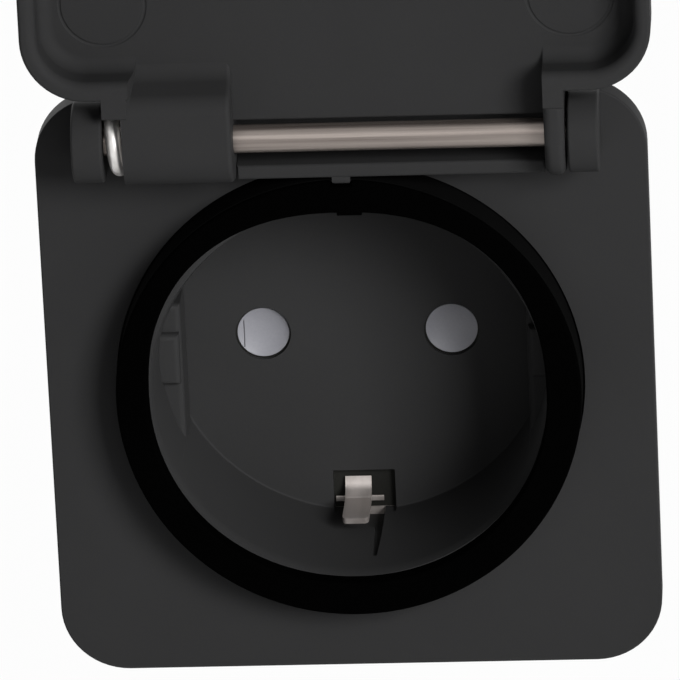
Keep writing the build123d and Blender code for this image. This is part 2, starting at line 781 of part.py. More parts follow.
# Lid: a shallow tray with a barrel and an arm on the shaft
lid_axis = Axis(lid_plane.origin, lid_plane.z_dir)
opening_end = lid_start + lid_hinge_wall + lid_floor_fillet
lid_left_x = -(ear_inner_x - ear_gap)
with BuildPart() as lid:
    with BuildSketch(lid_plane.offset(lid_back)):
        with Locations((lid_offset_x, (lid_start + lid_end) / 2)):
            RectangleRounded(lid_width, lid_length, lid_corner)
    extrude(amount=lid_rim - lid_back)
    with BuildSketch(lid_plane.offset(lid_floor)):
        with Locations((lid_offset_x, (lid_start + lid_hinge_wall + lid_end - lid_wall) / 2)):
            RectangleRounded(
                lid_width - 2 * lid_wall,
                lid_length - lid_hinge_wall - lid_wall,
                lid_corner - lid_wall,
            )
    extrude(amount=lid_rim - lid_floor, mode=Mode.SUBTRACT)
    fillet(lid.faces().sort_by(lid_axis)[1].edges(), lid_floor_fillet)
    fillet(lid.faces().sort_by(lid_axis)[0].edges(), lid_back_edge)
    fillet(lid.faces().sort_by(lid_axis)[-1].edges(), lid_rim_edge)
    # The hinge side is open between the barrel and the arm, and the skin runs on to the shaft
    with BuildSketch(lid_plane.offset(lid_floor)):
        with Locations(((barrel_outer_x + arm_inner_x) / 2, (lid_start + opening_end) / 2)):
            Rectangle(arm_inner_x - barrel_outer_x, opening_end - lid_start)
    extrude(amount=lid_rim - lid_floor, mode=Mode.SUBTRACT)
    with BuildSketch(lid_plane.offset(lid_back)):
        with Locations(((lid_left_x + arm_outer_x) / 2, (lid_floor_reach + opening_end) / 2)):
            Rectangle(arm_outer_x - lid_left_x, opening_end - lid_floor_reach)
    extrude(amount=lid_skin)
    with BuildSketch(lid_side.offset(barrel_outer_x)):
        Circle(barrel_r)
        Polygon(
            (0, lid_back),
            (barrel_top, lid_back),
            (barrel_top, barrel_r - barrel_chamfer),
            (barrel_top - barrel_chamfer, barrel_r),
            (0, barrel_r),
            align=None,
        )
    extrude(amount=barrel_length)
    with BuildSketch(lid_side.offset(arm_inner_x)):
        Circle(barrel_r)
        with Locations(((lid_start + lid_hinge_wall) / 2, (lid_back + barrel_r) / 2)):
            Rectangle(lid_start + lid_hinge_wall, barrel_r - lid_back)
    extrude(amount=arm_width)
    # Lip that covers the coil from the front
    with BuildSketch(lid_side.offset(lid_left_x)):
        with Locations(((lip_reach + lid_start + lid_hinge_wall) / 2, (coil_bore_r + lid_rim) / 2)):
            Rectangle(lid_start + lid_hinge_wall - lip_reach, lid_rim - coil_bore_r)
    extrude(amount=barrel_outer_x - lid_left_x + side_gap)
    with BuildSketch(lid_side.offset(lid_left_x)):
        Circle(coil_bore_r)
    extrude(amount=barrel_inner_x - barrel_end_wall - lid_left_x, mode=Mode.SUBTRACT)
    with BuildSketch(lid_side.offset(lid_left_x)):
        Circle(shaft_r + running_gap)
    extrude(amount=arm_outer_x - lid_left_x, mode=Mode.SUBTRACT)
    with BuildSketch(Plane(origin=hinge_coil.line @ 1, z_dir=(1, 0, 0))):
        Circle(hinge_wire_r + running_gap)
    extrude(amount=hinge_wire_r + slide_gap + hinge_leg + seat_gap, mode=Mode.SUBTRACT)
    with BuildSketch(lid_plane.offset(lid_floor)):
        with Locations((lid_offset_x - mark_x, mark_from_axis), (lid_offset_x + mark_x, mark_from_axis)):
            Circle(mark_r)
    extrude(amount=-mark_depth, mode=Mode.SUBTRACT)
finish(lid, "lid")
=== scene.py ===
import json
from math import cos, pi, radians, sin, sqrt

import bmesh
import bpy
from mathutils import Matrix, Vector


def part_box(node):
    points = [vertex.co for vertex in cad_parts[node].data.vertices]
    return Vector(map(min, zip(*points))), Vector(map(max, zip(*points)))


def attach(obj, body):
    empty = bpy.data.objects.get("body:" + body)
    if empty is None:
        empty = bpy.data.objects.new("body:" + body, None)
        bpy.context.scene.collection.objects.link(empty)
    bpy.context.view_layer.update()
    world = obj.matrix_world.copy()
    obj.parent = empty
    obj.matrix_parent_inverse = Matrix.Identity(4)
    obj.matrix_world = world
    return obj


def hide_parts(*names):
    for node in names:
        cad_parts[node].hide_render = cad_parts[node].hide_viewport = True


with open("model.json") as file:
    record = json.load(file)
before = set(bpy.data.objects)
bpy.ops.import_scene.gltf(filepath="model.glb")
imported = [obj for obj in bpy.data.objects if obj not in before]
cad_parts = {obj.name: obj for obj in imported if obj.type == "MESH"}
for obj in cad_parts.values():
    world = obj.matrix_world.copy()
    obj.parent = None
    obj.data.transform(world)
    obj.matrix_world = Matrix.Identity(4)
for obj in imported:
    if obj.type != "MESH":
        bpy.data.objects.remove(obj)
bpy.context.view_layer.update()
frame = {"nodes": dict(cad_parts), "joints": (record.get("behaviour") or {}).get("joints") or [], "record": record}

# Pieces are shaped in millimetres and brought to metres when they are finished.
MM = 0.001


def place_of(node):
    """Lowest and highest corner of a CAD node, in millimetres."""
    low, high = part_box(node)
    return low / MM, high / MM


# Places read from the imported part
front_low, front_high = place_of("front_shell")
cup_low, cup_high = place_of("socket_cup")
ring_low, ring_high = place_of("seal_ring")
shutter_low, shutter_high = place_of("shutter")
shaft_low, shaft_high = place_of("hinge_shaft")
lid_low, lid_high = place_of("lid")
rear_high = place_of("rear_shell")[1]
gasket_low, gasket_high = place_of("shell_gasket")
strip_high = place_of("plug_earth")[1]
screws_low, screws_high = place_of("housing_screws")
button_low, button_high = place_of("power_button")
button_seal_low, button_seal_high = place_of("button_seal")
lens_low, lens_high = place_of("status_lens")
lens_centre = ((lens_low.x + lens_high.x) / 2, (lens_low.y + lens_high.y) / 2)
hinge_joint = next(j for j in frame["joints"] if j["name"] == "lid_hinge")
hinge_y, hinge_z = (v / MM for v in hinge_joint["pos_m"][1:])
hinge_axis = (hinge_y, hinge_z)

# Cutting tools reach past the piece, and faces that would share a plane are set apart
past = 1.0
nudge = 0.01

# Face plate and round body
collar_height = 2.6
face_y = cup_low.y + collar_height
plate_x = front_high.x
plate_z = -front_low.z
plate_thickness = 3.0
plate_corner = 6.7
plate_edge = 0.2
corner_steps = 14
body_r = rear_high.x
body_wall = 3.0
body_inner_r = body_r - body_wall
body_end_y = front_high.y
seam_edge = 0.35

# Recess, collar and seal
collar_r = cup_high.x
collar_y = face_y - collar_height
collar_depth = 2.0
recess_r = collar_r - 3.3
recess_wall = 1.5
floor_y = ring_low.y + 17.8
cup_back_y = cup_high.y
pin_x = 9.5
pin_hole_r = 2.8
rib_reach = recess_r - 2.2
guide_width = 5.4
slot_half = 3.15
slot_length = 4.4
band_inner_r = 6.3
band_outer_r = 12.7
ring_inner_r = recess_r + 0.4
ring_outer_r = ring_high.x
plate_hole_r = ring_outer_r + 0.2
ridge_bottom = plate_hole_r + 0.05
ridge_top = ridge_bottom + 1.45

# Hinge
shaft_r = shaft_high.z - hinge_z
barrel_r = 4.25
ear_r = 4.0
ear_inner_x = 22.75
ear_outer_x = 25.75
arm_inner_x = 20.5
arm_outer_x = 22.5
barrel_outer_x = -20.7
barrel_inner_x = -10.0
lid_left_x = -22.5
coil_bore_r = 3.5

# Rear case and plug
rear_start_y = gasket_high.y
rear_face_y = rear_start_y + 6.9
rear_wall_y = rear_face_y - 2.2
plug_r = 18.4
plug_bore_r = plug_r - 2.2
plug_end_y = rear_high.y
plug_floor_y = plug_end_y - 3.0
strip_half = 3.0
strip_thickness = 1.0
screw_head_r = 1.9
screw_x = screws_high.x - screw_head_r

# Lid, in its own upright frame with the hinge axis at the origin
lid_half = (lid_high.x - lid_low.x) / 2
lid_mid_x = (lid_high.x + lid_low.x) / 2
lid_start = 5.5
lid_end = hinge_z + plate_z + 1.1
lid_rim = 4.4
lid_back = 1.8
lid_wall = 1.65
lid_hinge_wall = 1.9
lid_corner = 6.3
lid_fillet = 1.5
lid_lean = radians(2.0)
opening_left_x = -20.0


def deselect():
    bpy.ops.object.select_all(action="DESELECT")


def only(piece):
    """Selects one piece and makes it the active one."""
    deselect()
    piece.select_set(True)
    bpy.context.view_layer.objects.active = piece


def edit(piece):
    only(piece)
    bpy.ops.object.mode_set(mode="EDIT")


def leave():
    bpy.ops.object.mode_set(mode="OBJECT")


def pick(piece, kind, test):
    """Selects the points or edges that pass the test, in edit mode."""
    bpy.ops.mesh.select_mode(type={"verts": "VERT", "edges": "EDGE"}[kind])
    bpy.ops.mesh.select_all(action="DESELECT")
    mesh = bmesh.from_edit_mesh(piece.data)
    for part in getattr(mesh, kind):
        if test(part):
            part.select_set(True)
    mesh.select_flush_mode()
    bmesh.update_edit_mesh(piece.data)


def pick_all():
    bpy.ops.mesh.select_all(action="SELECT")


def near(value, target, gap=0.004):
    return abs(value - target) < gap


def runs_along(axis):
    """Test for edges that run along one axis."""
    def test(edge):
        run = edge.verts[1].co - edge.verts[0].co
        return run.length > 1e-6 and abs(run[axis]) / run.length > 0.9999
    return test


def lies_at(axis, target):
    """Test for edges that lie in a plane across one axis."""
    return lambda edge: all(near(v.co[axis], target) for v in edge.verts)


def is_corner(edge):
    """Test for edges where two faces meet at an angle."""
    return edge.calc_face_angle(0) > 0.3


def ring_at(radius, y):
    """Test for the edges of a turned piece's ring."""
    return lambda edge: all(
        near(v.co.y, y) and near(sqrt(v.co.x**2 + v.co.z**2), radius, 0.02) for v in edge.verts
    )


def round_edges(piece, test, width, steps=4):
    """Rounds the edges that pass the test."""
    edit(piece)
    pick(piece, "edges", test)
    bpy.ops.mesh.bevel(offset=width, segments=steps, profile=0.5, affect="EDGES", clamp_overlap=False)
    leave()


def shift_points(piece, test, step):
    """Moves the points that pass the test."""
    edit(piece)
    pick(piece, "verts", test)
    bpy.ops.transform.translate(value=step)
    leave()


def settle(piece):
    """Puts a new object's place and size into its mesh."""
    only(piece)
    bpy.ops.object.transform_apply(location=True, rotation=True, scale=True)
    return piece


def block(name, low, high):
    """A box between two corners, to be shaped further."""
    deselect()
    bpy.ops.mesh.primitive_cube_add(size=1, location=[(a + b) / 2 for a, b in zip(low, high)])
    piece = bpy.context.object
    piece.name = piece.data.name = name
    piece.scale = [b - a for a, b in zip(low, high)]
    return settle(piece)


def rod(name, radius, start, end, axis="Y", centre=(0, 0), sides=96):
    """A round bar along one axis, to be shaped further. The centre is in the other two axes."""
    middle = (start + end) / 2
    a, b = centre
    place = {"X": (middle, a, b), "Y": (a, middle, b), "Z": (a, b, middle)}[axis]
    turn = {"X": (0, pi / 2, 0), "Y": (pi / 2, 0, 0), "Z": (0, 0, 0)}[axis]
    deselect()
    bpy.ops.mesh.primitive_cylinder_add(
        vertices=sides, radius=radius, depth=abs(end - start), location=place, rotation=turn
    )
    piece = bpy.context.object
    piece.name = piece.data.name = name
    return settle(piece)


def drawn(name, points):
    """A line drawn from point to point: one point, extruded on."""
    deselect()
    bpy.ops.mesh.primitive_plane_add(size=1, location=points[0])
    piece = settle(bpy.context.object)
    piece.name = piece.data.name = name
    edit(piece)
    bpy.ops.mesh.select_mode(type="VERT")
    pick_all()
    bpy.ops.mesh.merge(type="CENTER")
    for start, end in zip(points, points[1:]):
        step = Vector(end) - Vector(start)
        bpy.ops.mesh.extrude_vertices_move(TRANSFORM_OT_translate={"value": step})
    leave()
    return piece


def outward(piece):
    """Merges doubles and turns the faces outwards, in edit mode."""
    pick_all()
    bpy.ops.mesh.remove_doubles(threshold=0.0005)
    bpy.ops.mesh.normals_make_consistent(inside=False)


def ball(name, radius, place):
    """A fine ball, to cut a shallow dish with."""
    deselect()
    bpy.ops.mesh.primitive_uv_sphere_add(segments=192, ring_count=96, radius=radius, location=place)
    piece = bpy.context.object
    piece.name = piece.data.name = name
    return settle(piece)


def span(side, first, second):
    """Two distances on one side of the middle, the lower place first."""
    return sorted((side * first, side * second))


def turned(name, outline, sides=160):
    """A shape turned about the Y axis from an outline of (radius, y) points."""
    piece = drawn(name, [(r, y, 0) for r, y in outline])
    edit(piece)
    pick_all()
    bpy.ops.mesh.spin(steps=sides, angle=2 * pi, center=(0, 0, 0), axis=(0, 1, 0))
    outward(piece)
    leave()
    return piece


def tube(name, inner_r, outer_r, start, end, sides=160):
    """A ring about the Y axis with a rectangular section."""
    corners = [(inner_r, start), (outer_r, start), (outer_r, end), (inner_r, end), (inner_r, start)]
    return turned(name, corners, sides)


def extruded(name, points, step):
    """A solid with a drawn outline, carried on by one step."""
    piece = drawn(name, points)
    edit(piece)
    pick_all()
    bpy.ops.mesh.edge_face_add()
    bpy.ops.mesh.extrude_region_move(TRANSFORM_OT_translate={"value": step})
    outward(piece)
    leave()
    return piece


def slab(name, outline, start, end):
    """A solid with an outline of (y, z) points, running along X from start to end."""
    return extruded(name, [(start, y, z) for y, z in outline], (end - start, 0, 0))


def prism(name, outline, start, end):
    """A solid with an outline of (x, z) points, running along Y from start to end."""
    return extruded(name, [(x, start, z) for x, z in outline], (0, end - start, 0))


def arc(centre, radius, start, end, steps):
    """Points along an arc, with the angles in degrees."""
    turns = [radians(start + (end - start) * i / steps) for i in range(steps + 1)]
    return [(centre[0] + radius * cos(turn), centre[1] + radius * sin(turn)) for turn in turns]


def hulled(name, *solids):
    """The tight skin round several solids."""
    piece = joined(name, *solids)
    edit(piece)
    pick_all()
    bpy.ops.mesh.convex_hull()
    pick_all()
    bpy.ops.mesh.dissolve_limited(angle_limit=radians(0.5))
    leave()
    return piece


def combine(piece, tool, operation):
    """Joins a tool to the piece or cuts it away, and removes the tool."""
    only(piece)
    bpy.ops.object.modifier_add(type="BOOLEAN")
    step = piece.modifiers[-1]
    step.operation = operation
    step.solver = "EXACT"
    step.object = tool
    bpy.ops.object.modifier_apply(modifier=step.name)
    bpy.data.objects.remove(tool)
    return piece


def cut(piece, tool):
    return combine(piece, tool, "DIFFERENCE")


def weld(piece, tool):
    return combine(piece, tool, "UNION")


def copied(piece, name):
    """A copy with a mesh of its own."""
    only(piece)
    bpy.ops.object.duplicate()
    copy = bpy.context.object
    copy.name = copy.data.name = name
    return copy


def mirrored(piece, axis):
    """Mirrors a piece through the origin's plane across one axis."""
    edit(piece)
    pick_all()
    bpy.ops.transform.resize(value=[-1 if i == axis else 1 for i in range(3)], center_override=(0, 0, 0))
    bpy.ops.mesh.normals_make_consistent(inside=False)
    leave()
    return piece


def joined(name, *pieces):
    """Several closed solids as one piece."""
    deselect()
    for piece in pieces:
        piece.select_set(True)
    bpy.context.view_layer.objects.active = pieces[0]
    bpy.ops.object.join()
    piece = bpy.context.object
    piece.name = piece.data.name = name
    return piece


def finish_piece(piece, body, slot, *nodes, look=None, angle=32):
    """Brings a piece to metres, smooths it, dresses it and hangs it on its body."""
    piece.scale = (MM, MM, MM)
    settle(piece)
    bpy.ops.object.shade_smooth_by_angle(angle=radians(angle))
    bpy.ops.object.modifier_add(type="WEIGHTED_NORMAL")
    piece.modifiers[-1].keep_sharp = True
    bpy.ops.object.modifier_apply(modifier=piece.modifiers[-1].name)
    piece.data.materials.clear()
    piece.data.materials.append(looks[look or slot])
    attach(piece, body)
    if nodes:
        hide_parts(*nodes)


# Shader groups

def new_group(name, inputs, outputs):
    """A shader group with its named sockets."""
    tree = bpy.data.node_groups.new(name, "ShaderNodeTree")
    for label, kind, value in inputs:
        socket = tree.interface.new_socket(label, in_out="INPUT", socket_type=kind)
        if value is not None:
            socket.default_value = value
    for label, kind in outputs:
        tree.interface.new_socket(label, in_out="OUTPUT", socket_type=kind)
    return tree, tree.nodes.new("NodeGroupInput"), tree.nodes.new("NodeGroupOutput")


def math_node(tree, operation, first, second):
    """A sum or product of two sockets or numbers."""
    node = tree.nodes.new("ShaderNodeMath")
    node.operation = operation
    for socket, value in zip(node.inputs, (first, second)):
        if isinstance(value, (int, float)):
            socket.default_value = value
        else:
            tree.links.new(value, socket)
    return node.outputs[0]


def noise_node(tree, vector, scale, detail):
    node = tree.nodes.new("ShaderNodeTexNoise")
    node.inputs["Detail"].default_value = detail
    tree.links.new(vector, node.inputs["Vector"])
    if isinstance(scale, (int, float)):
        node.inputs["Scale"].default_value = scale
    else:
        tree.links.new(scale, node.inputs["Scale"])
    return node.outputs["Fac"]


def spread_node(tree, value, low, high):
    """Maps the middle of a noise to a range of two sockets or numbers."""
    noise_low, noise_high = 0.3, 0.7
    node = tree.nodes.new("ShaderNodeMapRange")
    tree.links.new(value, node.inputs["Value"])
    node.inputs["From Min"].default_value = noise_low
    node.inputs["From Max"].default_value = noise_high
    for label, end in (("To Min", low), ("To Max", high)):
        if isinstance(end, (int, float)):
            node.inputs[label].default_value = end
        else:
            tree.links.new(end, node.inputs[label])
    return node.outputs["Result"]


def mix_node(tree, factor, first, second):
    """A blend of two colours."""
    node = tree.nodes.new("ShaderNodeMix")
    node.data_type = "RGBA"
    tree.links.new(factor, node.inputs["Factor"])
    tree.links.new(first, node.inputs["A"])
    tree.links.new(second, node.inputs["B"])
    return node.outputs["Result"]


def seen_node(tree):
    """1 for a ray from the camera, a reflection or a clear piece, and 0 for light that falls on a piece."""
    path = tree.nodes.new("ShaderNodeLightPath")
    seen = math_node(tree, "MAXIMUM", path.outputs["Is Camera Ray"], path.outputs["Is Glossy Ray"])
    return math_node(tree, "MAXIMUM", seen, path.outputs["Is Transmission Ray"])


def make_moulded_grain():
    """Fine grain of a spark-eroded mould, with faint cloudy patches."""
    patch_scale, patch_share = 55.0, 0.6
    grain_share = 0.4
    tree, given, out = new_group(
        "moulded_grain",
        [
            ("Vector", "NodeSocketVector", None),
            ("Dark", "NodeSocketColor", (0.02, 0.02, 0.02, 1)),
            ("Light", "NodeSocketColor", (0.03, 0.03, 0.03, 1)),
            ("Smooth", "NodeSocketFloat", 0.45),
            ("Rough", "NodeSocketFloat", 0.6),
            ("Grain Scale", "NodeSocketFloat", 6000.0),
        ],
        [("Color", "NodeSocketColor"), ("Roughness", "NodeSocketFloat"), ("Height", "NodeSocketFloat")],
    )
    patches = noise_node(tree, given.outputs["Vector"], patch_scale, detail=3.0)
    grain = noise_node(tree, given.outputs["Vector"], given.outputs["Grain Scale"], detail=2.0)
    both = math_node(
        tree, "ADD",
        math_node(tree, "MULTIPLY", patches, patch_share), math_node(tree, "MULTIPLY", grain, grain_share),
    )
    share = spread_node(tree, both, 0.0, 1.0)
    tree.links.new(mix_node(tree, share, given.outputs["Dark"], given.outputs["Light"]), out.inputs["Color"])
    rough = spread_node(tree, patches, given.outputs["Smooth"], given.outputs["Rough"])
    tree.links.new(rough, out.inputs["Roughness"])
    tree.links.new(grain, out.inputs["Height"])
    return tree


def make_drawn_metal():
    """Plated metal with streaks along one direction and faint stains."""
    tree, given, out = new_group(
        "drawn_metal",
        [
            ("Vector", "NodeSocketVector", None),
            ("Dark", "NodeSocketColor", (0.5, 0.45, 0.4, 1)),
            ("Light", "NodeSocketColor", (0.8, 0.75, 0.7, 1)),
            ("Smooth", "NodeSocketFloat", 0.1),
            ("Rough", "NodeSocketFloat", 0.3),
        ],
        [("Color", "NodeSocketColor"), ("Roughness", "NodeSocketFloat"), ("Height", "NodeSocketFloat")],
    )
    streaks = noise_node(tree, given.outputs["Vector"], scale=1.0, detail=4.0)
    share = spread_node(tree, streaks, 0.0, 1.0)
    tree.links.new(mix_node(tree, share, given.outputs["Dark"], given.outputs["Light"]), out.inputs["Color"])
    rough = spread_node(tree, streaks, given.outputs["Smooth"], given.outputs["Rough"])
    tree.links.new(rough, out.inputs["Roughness"])
    tree.links.new(streaks, out.inputs["Height"])
    return tree


moulded_grain = make_moulded_grain()
drawn_metal = make_drawn_metal()


def new_material(name, group, values, bump, stretch=None, **constants):
    """A material whose colour, roughness and relief come from a group on the piece's own coordinates."""
    relief_depth = 0.00002
    material = bpy.data.materials.new(name)
    material.use_nodes = True
    tree = material.node_tree
    shader = tree.nodes["Principled BSDF"]
    place = tree.nodes.new("ShaderNodeTexCoord").outputs["Object"]
    if stretch:
        mapping = tree.nodes.new("ShaderNodeMapping")
        mapping.inputs["Scale"].default_value = stretch
        tree.links.new(place, mapping.inputs["Vector"])
        place = mapping.outputs["Vector"]
    effect = tree.nodes.new("ShaderNodeGroup")
    effect.node_tree = group
    tree.links.new(place, effect.inputs["Vector"])
    for label, value in values.items():
        effect.inputs[label].default_value = value
    tree.links.new(effect.outputs["Color"], shader.inputs["Base Color"])
    tree.links.new(effect.outputs["Roughness"], shader.inputs["Roughness"])
    relief = tree.nodes.new("ShaderNodeBump")
    relief.inputs["Strength"].default_value = bump
    relief.inputs["Distance"].default_value = relief_depth
    tree.links.new(effect.outputs["Height"], relief.inputs["Height"])
    tree.links.new(relief.outputs["Normal"], shader.inputs["Normal"])
    for label, value in constants.items():
        shader.inputs[label.replace("_", " ")].default_value = value
    return material


def plastic(name, dark, light, smooth, rough, specular, grain=6000.0, bump=0.25):
    return new_material(
        name, moulded_grain,
        {"Dark": (*dark, 1), "Light": (*light, 1), "Smooth": smooth, "Rough": rough, "Grain Scale": grain},
        bump, Specular_IOR_Level=specular,
    )


def metal(name, dark, light, smooth, rough, stretch, bump=0.1, metallic=1.0):
    return new_material(
        name, drawn_metal,
        {"Dark": (*dark, 1), "Light": (*light, 1), "Smooth": smooth, "Rough": rough},
        bump, stretch, Metallic=metallic,
    )


# Dark and light colour, smooth and rough, specular level; then grain scale and relief where they differ
plastics = {
    "housing_plastic": ((0.0285, 0.0285, 0.029), (0.0325, 0.0325, 0.033), 0.5, 0.6, 0.02),
    # The recess plastic is the housing grey painted lighter, so that the shaded recess reads as bright as the
    # face.
    "recess_plastic": ((0.0345, 0.0345, 0.035), (0.0385, 0.0385, 0.039), 0.5, 0.58, 0.02),
    "carrier_plastic": ((0.5, 0.49, 0.45), (0.56, 0.55, 0.51), 0.4, 0.5, 0.5),
    "black_rubber": ((0.0003, 0.0003, 0.0003), (0.0006, 0.0006, 0.0006), 0.7, 0.85, 0.004, 3000.0),
    # The lighter rubber is black_rubber painted lighter: painted light on the lit outer side of the seal's skirt.
    # The gasket and the button seal take it too.
    "skirt_rubber": ((0.0032, 0.0032, 0.0032), (0.0042, 0.0042, 0.0042), 0.7, 0.85, 0.004, 3000.0),
    "button_plastic": ((0.045, 0.045, 0.047), (0.055, 0.055, 0.057), 0.4, 0.5, 0.3),
    "component_black": ((0.012, 0.012, 0.011), (0.02, 0.02, 0.018), 0.4, 0.5, 0.1),
    "shutter_plastic": ((0.26, 0.26, 0.286), (0.3, 0.3, 0.328), 0.4, 0.5, 0.4, 4000.0, 0.1),
    "board_green": ((0.015, 0.13, 0.055), (0.025, 0.18, 0.08), 0.25, 0.4, 0.5),
    "relay_blue": ((0.025, 0.085, 0.26), (0.035, 0.11, 0.33), 0.3, 0.4, 0.5),
    "capacitor_yellow": ((0.55, 0.38, 0.04), (0.64, 0.45, 0.06), 0.3, 0.4, 0.5),
    "varistor_blue": ((0.035, 0.1, 0.3), (0.045, 0.13, 0.38), 0.3, 0.4, 0.5),
    "fuse_glass": ((0.7, 0.74, 0.74), (0.8, 0.84, 0.84), 0.05, 0.12, 0.5),
    "led_white": ((0.74, 0.74, 0.68), (0.82, 0.82, 0.77), 0.2, 0.3, 0.5),
    "lens_white": ((0.68, 0.7, 0.71), (0.76, 0.78, 0.79), 0.25, 0.35, 0.5),
}
# Dark and light colour, smooth and rough, stretch of the streaks; then relief and metallic where they differ
metals = {
    "nickel": ((0.5, 0.43, 0.4), (0.8, 0.73, 0.69), 0.15, 0.3, (1400, 60, 1400)),
    "clip_nickel": ((0.37, 0.335, 0.315), (0.47, 0.43, 0.41), 0.34, 0.46, (900, 60, 900), 0.04, 0.55),
    "shaft_steel": ((0.17, 0.143, 0.129), (0.272, 0.238, 0.216), 0.26, 0.4, (40, 2600, 2600), 0.1, 0.7),
    "spring_steel": ((0.62, 0.6, 0.58), (0.84, 0.82, 0.8), 0.34, 0.48, (900, 900, 900), 0.1, 0.7),
    "screw_steel": ((0.42, 0.42, 0.43), (0.58, 0.58, 0.6), 0.25, 0.4, (800, 800, 800)),
    "brass": ((0.6, 0.42, 0.18), (0.76, 0.56, 0.27), 0.2, 0.35, (900, 120, 900)),
    "shield_can": ((0.5, 0.5, 0.5), (0.64, 0.64, 0.64), 0.3, 0.45, (700, 700, 700)),
}
looks = {name: plastic(name, *row) for name, row in plastics.items()}
looks.update({name: metal(name, *row) for name, row in metals.items()})
for row in frame["record"]["subparts"]:
    node = frame["nodes"][row["node"]]
    node.data.materials.clear()
    node.data.materials.append(looks[row["material_slot"]])


def make_face_plate():
    """Square plate with the hinge ears and the ridge, in one moulding."""
    back_y = face_y + plate_thickness
    middle_y = face_y + plate_thickness / 2
    back_edge = 0.3
    plate = block("face_plate", (-plate_x, face_y, -plate_z), (plate_x, back_y, plate_z))
    round_edges(plate, runs_along(1), plate_corner, corner_steps)
    round_edges(plate, lies_at(1, face_y), plate_edge, steps=5)
    round_edges(plate, lies_at(1, back_y), back_edge, steps=2)
    ear_edge, foot_rise = 0.25, 0.4
    boss_r, boss_start_x, boss_end_x = 2.3, 22.56, 23.2
    hole_r, hole_start_x, hole_end_x = shaft_r + 0.05, -26.5, -20
    for side in (-1, 1):
        x_ends = span(side, ear_inner_x, ear_outer_x)
        knuckle = rod("ear", ear_r, *x_ends, "X", hinge_axis, sides=72)
        foot = block(
            "ear_foot",
            (x_ends[0], face_y - foot_rise, hinge_z - ear_r),
            (x_ends[1], middle_y, plate_z - plate_edge),
        )
        ear = hulled("ear", knuckle, foot)
        round_edges(ear, lies_at(0, side * ear_outer_x), ear_edge, steps=4)
        round_edges(ear, lies_at(0, side * ear_inner_x), ear_edge, steps=3)
        weld(plate, ear)
        if side > 0:
            weld(plate, rod("ear_boss", boss_r, boss_start_x, boss_end_x, "X", hinge_axis, sides=64))
        else:
            cut(plate, rod("shaft_hole", hole_r, hole_start_x, hole_end_x, "X", hinge_axis, sides=64))
    ridge_y, ridge_edge = hinge_y + 0.3, 0.3
    ridge_left_x, ridge_right_x = barrel_inner_x + 0.1, arm_inner_x - 0.2
    ridge = block("ridge", (ridge_left_x, ridge_y, ridge_bottom), (ridge_right_x, middle_y, ridge_top))
    round_edges(ridge, lies_at(1, ridge_y), ridge_edge, steps=3)
    weld(plate, ridge)
    nib_left_x, nib_right_x, nib_edge = -0.65, 1.15, 0.35
    nib_start_y, nib_end_y = ridge_y + 0.15, collar_y - 0.2
    nib_bottom, nib_top = ridge_bottom - 0.75, ridge_top - 0.5
    nib = block("nib", (nib_left_x, nib_start_y, nib_bottom), (nib_right_x, nib_end_y, nib_top))
    round_edges(nib, lies_at(2, nib_bottom), nib_edge, steps=4)
    weld(plate, nib)
    cut(plate, rod("collar_hole", plate_hole_r, face_y - 2 * past, back_y + 2 * past, sides=160))
    finish_piece(plate, "housing", "housing_plastic", "front_shell")


def make_body_tube():
    """Round body behind the plate, with the holes of the button and the light pipe."""
    overlap, button_hole_r, lens_hole_r = 0.2, 4.6, 1.28
    body = tube("body_tube", body_inner_r, body_r, face_y + plate_thickness - overlap, body_end_y)
    round_edges(body, ring_at(body_r, body_end_y), seam_edge, steps=3)
    button_y = (button_seal_low.y + button_seal_high.y) / 2
    low_z, high_z = -body_r - 2 * past, -body_r / 2
    cut(body, rod("button_hole", button_hole_r, low_z, high_z, "Z", (0, button_y)))
    cut(body, rod("lens_hole", lens_hole_r, low_z, high_z, "Z", lens_centre, sides=48))
    finish_piece(body, "housing", "housing_plastic")


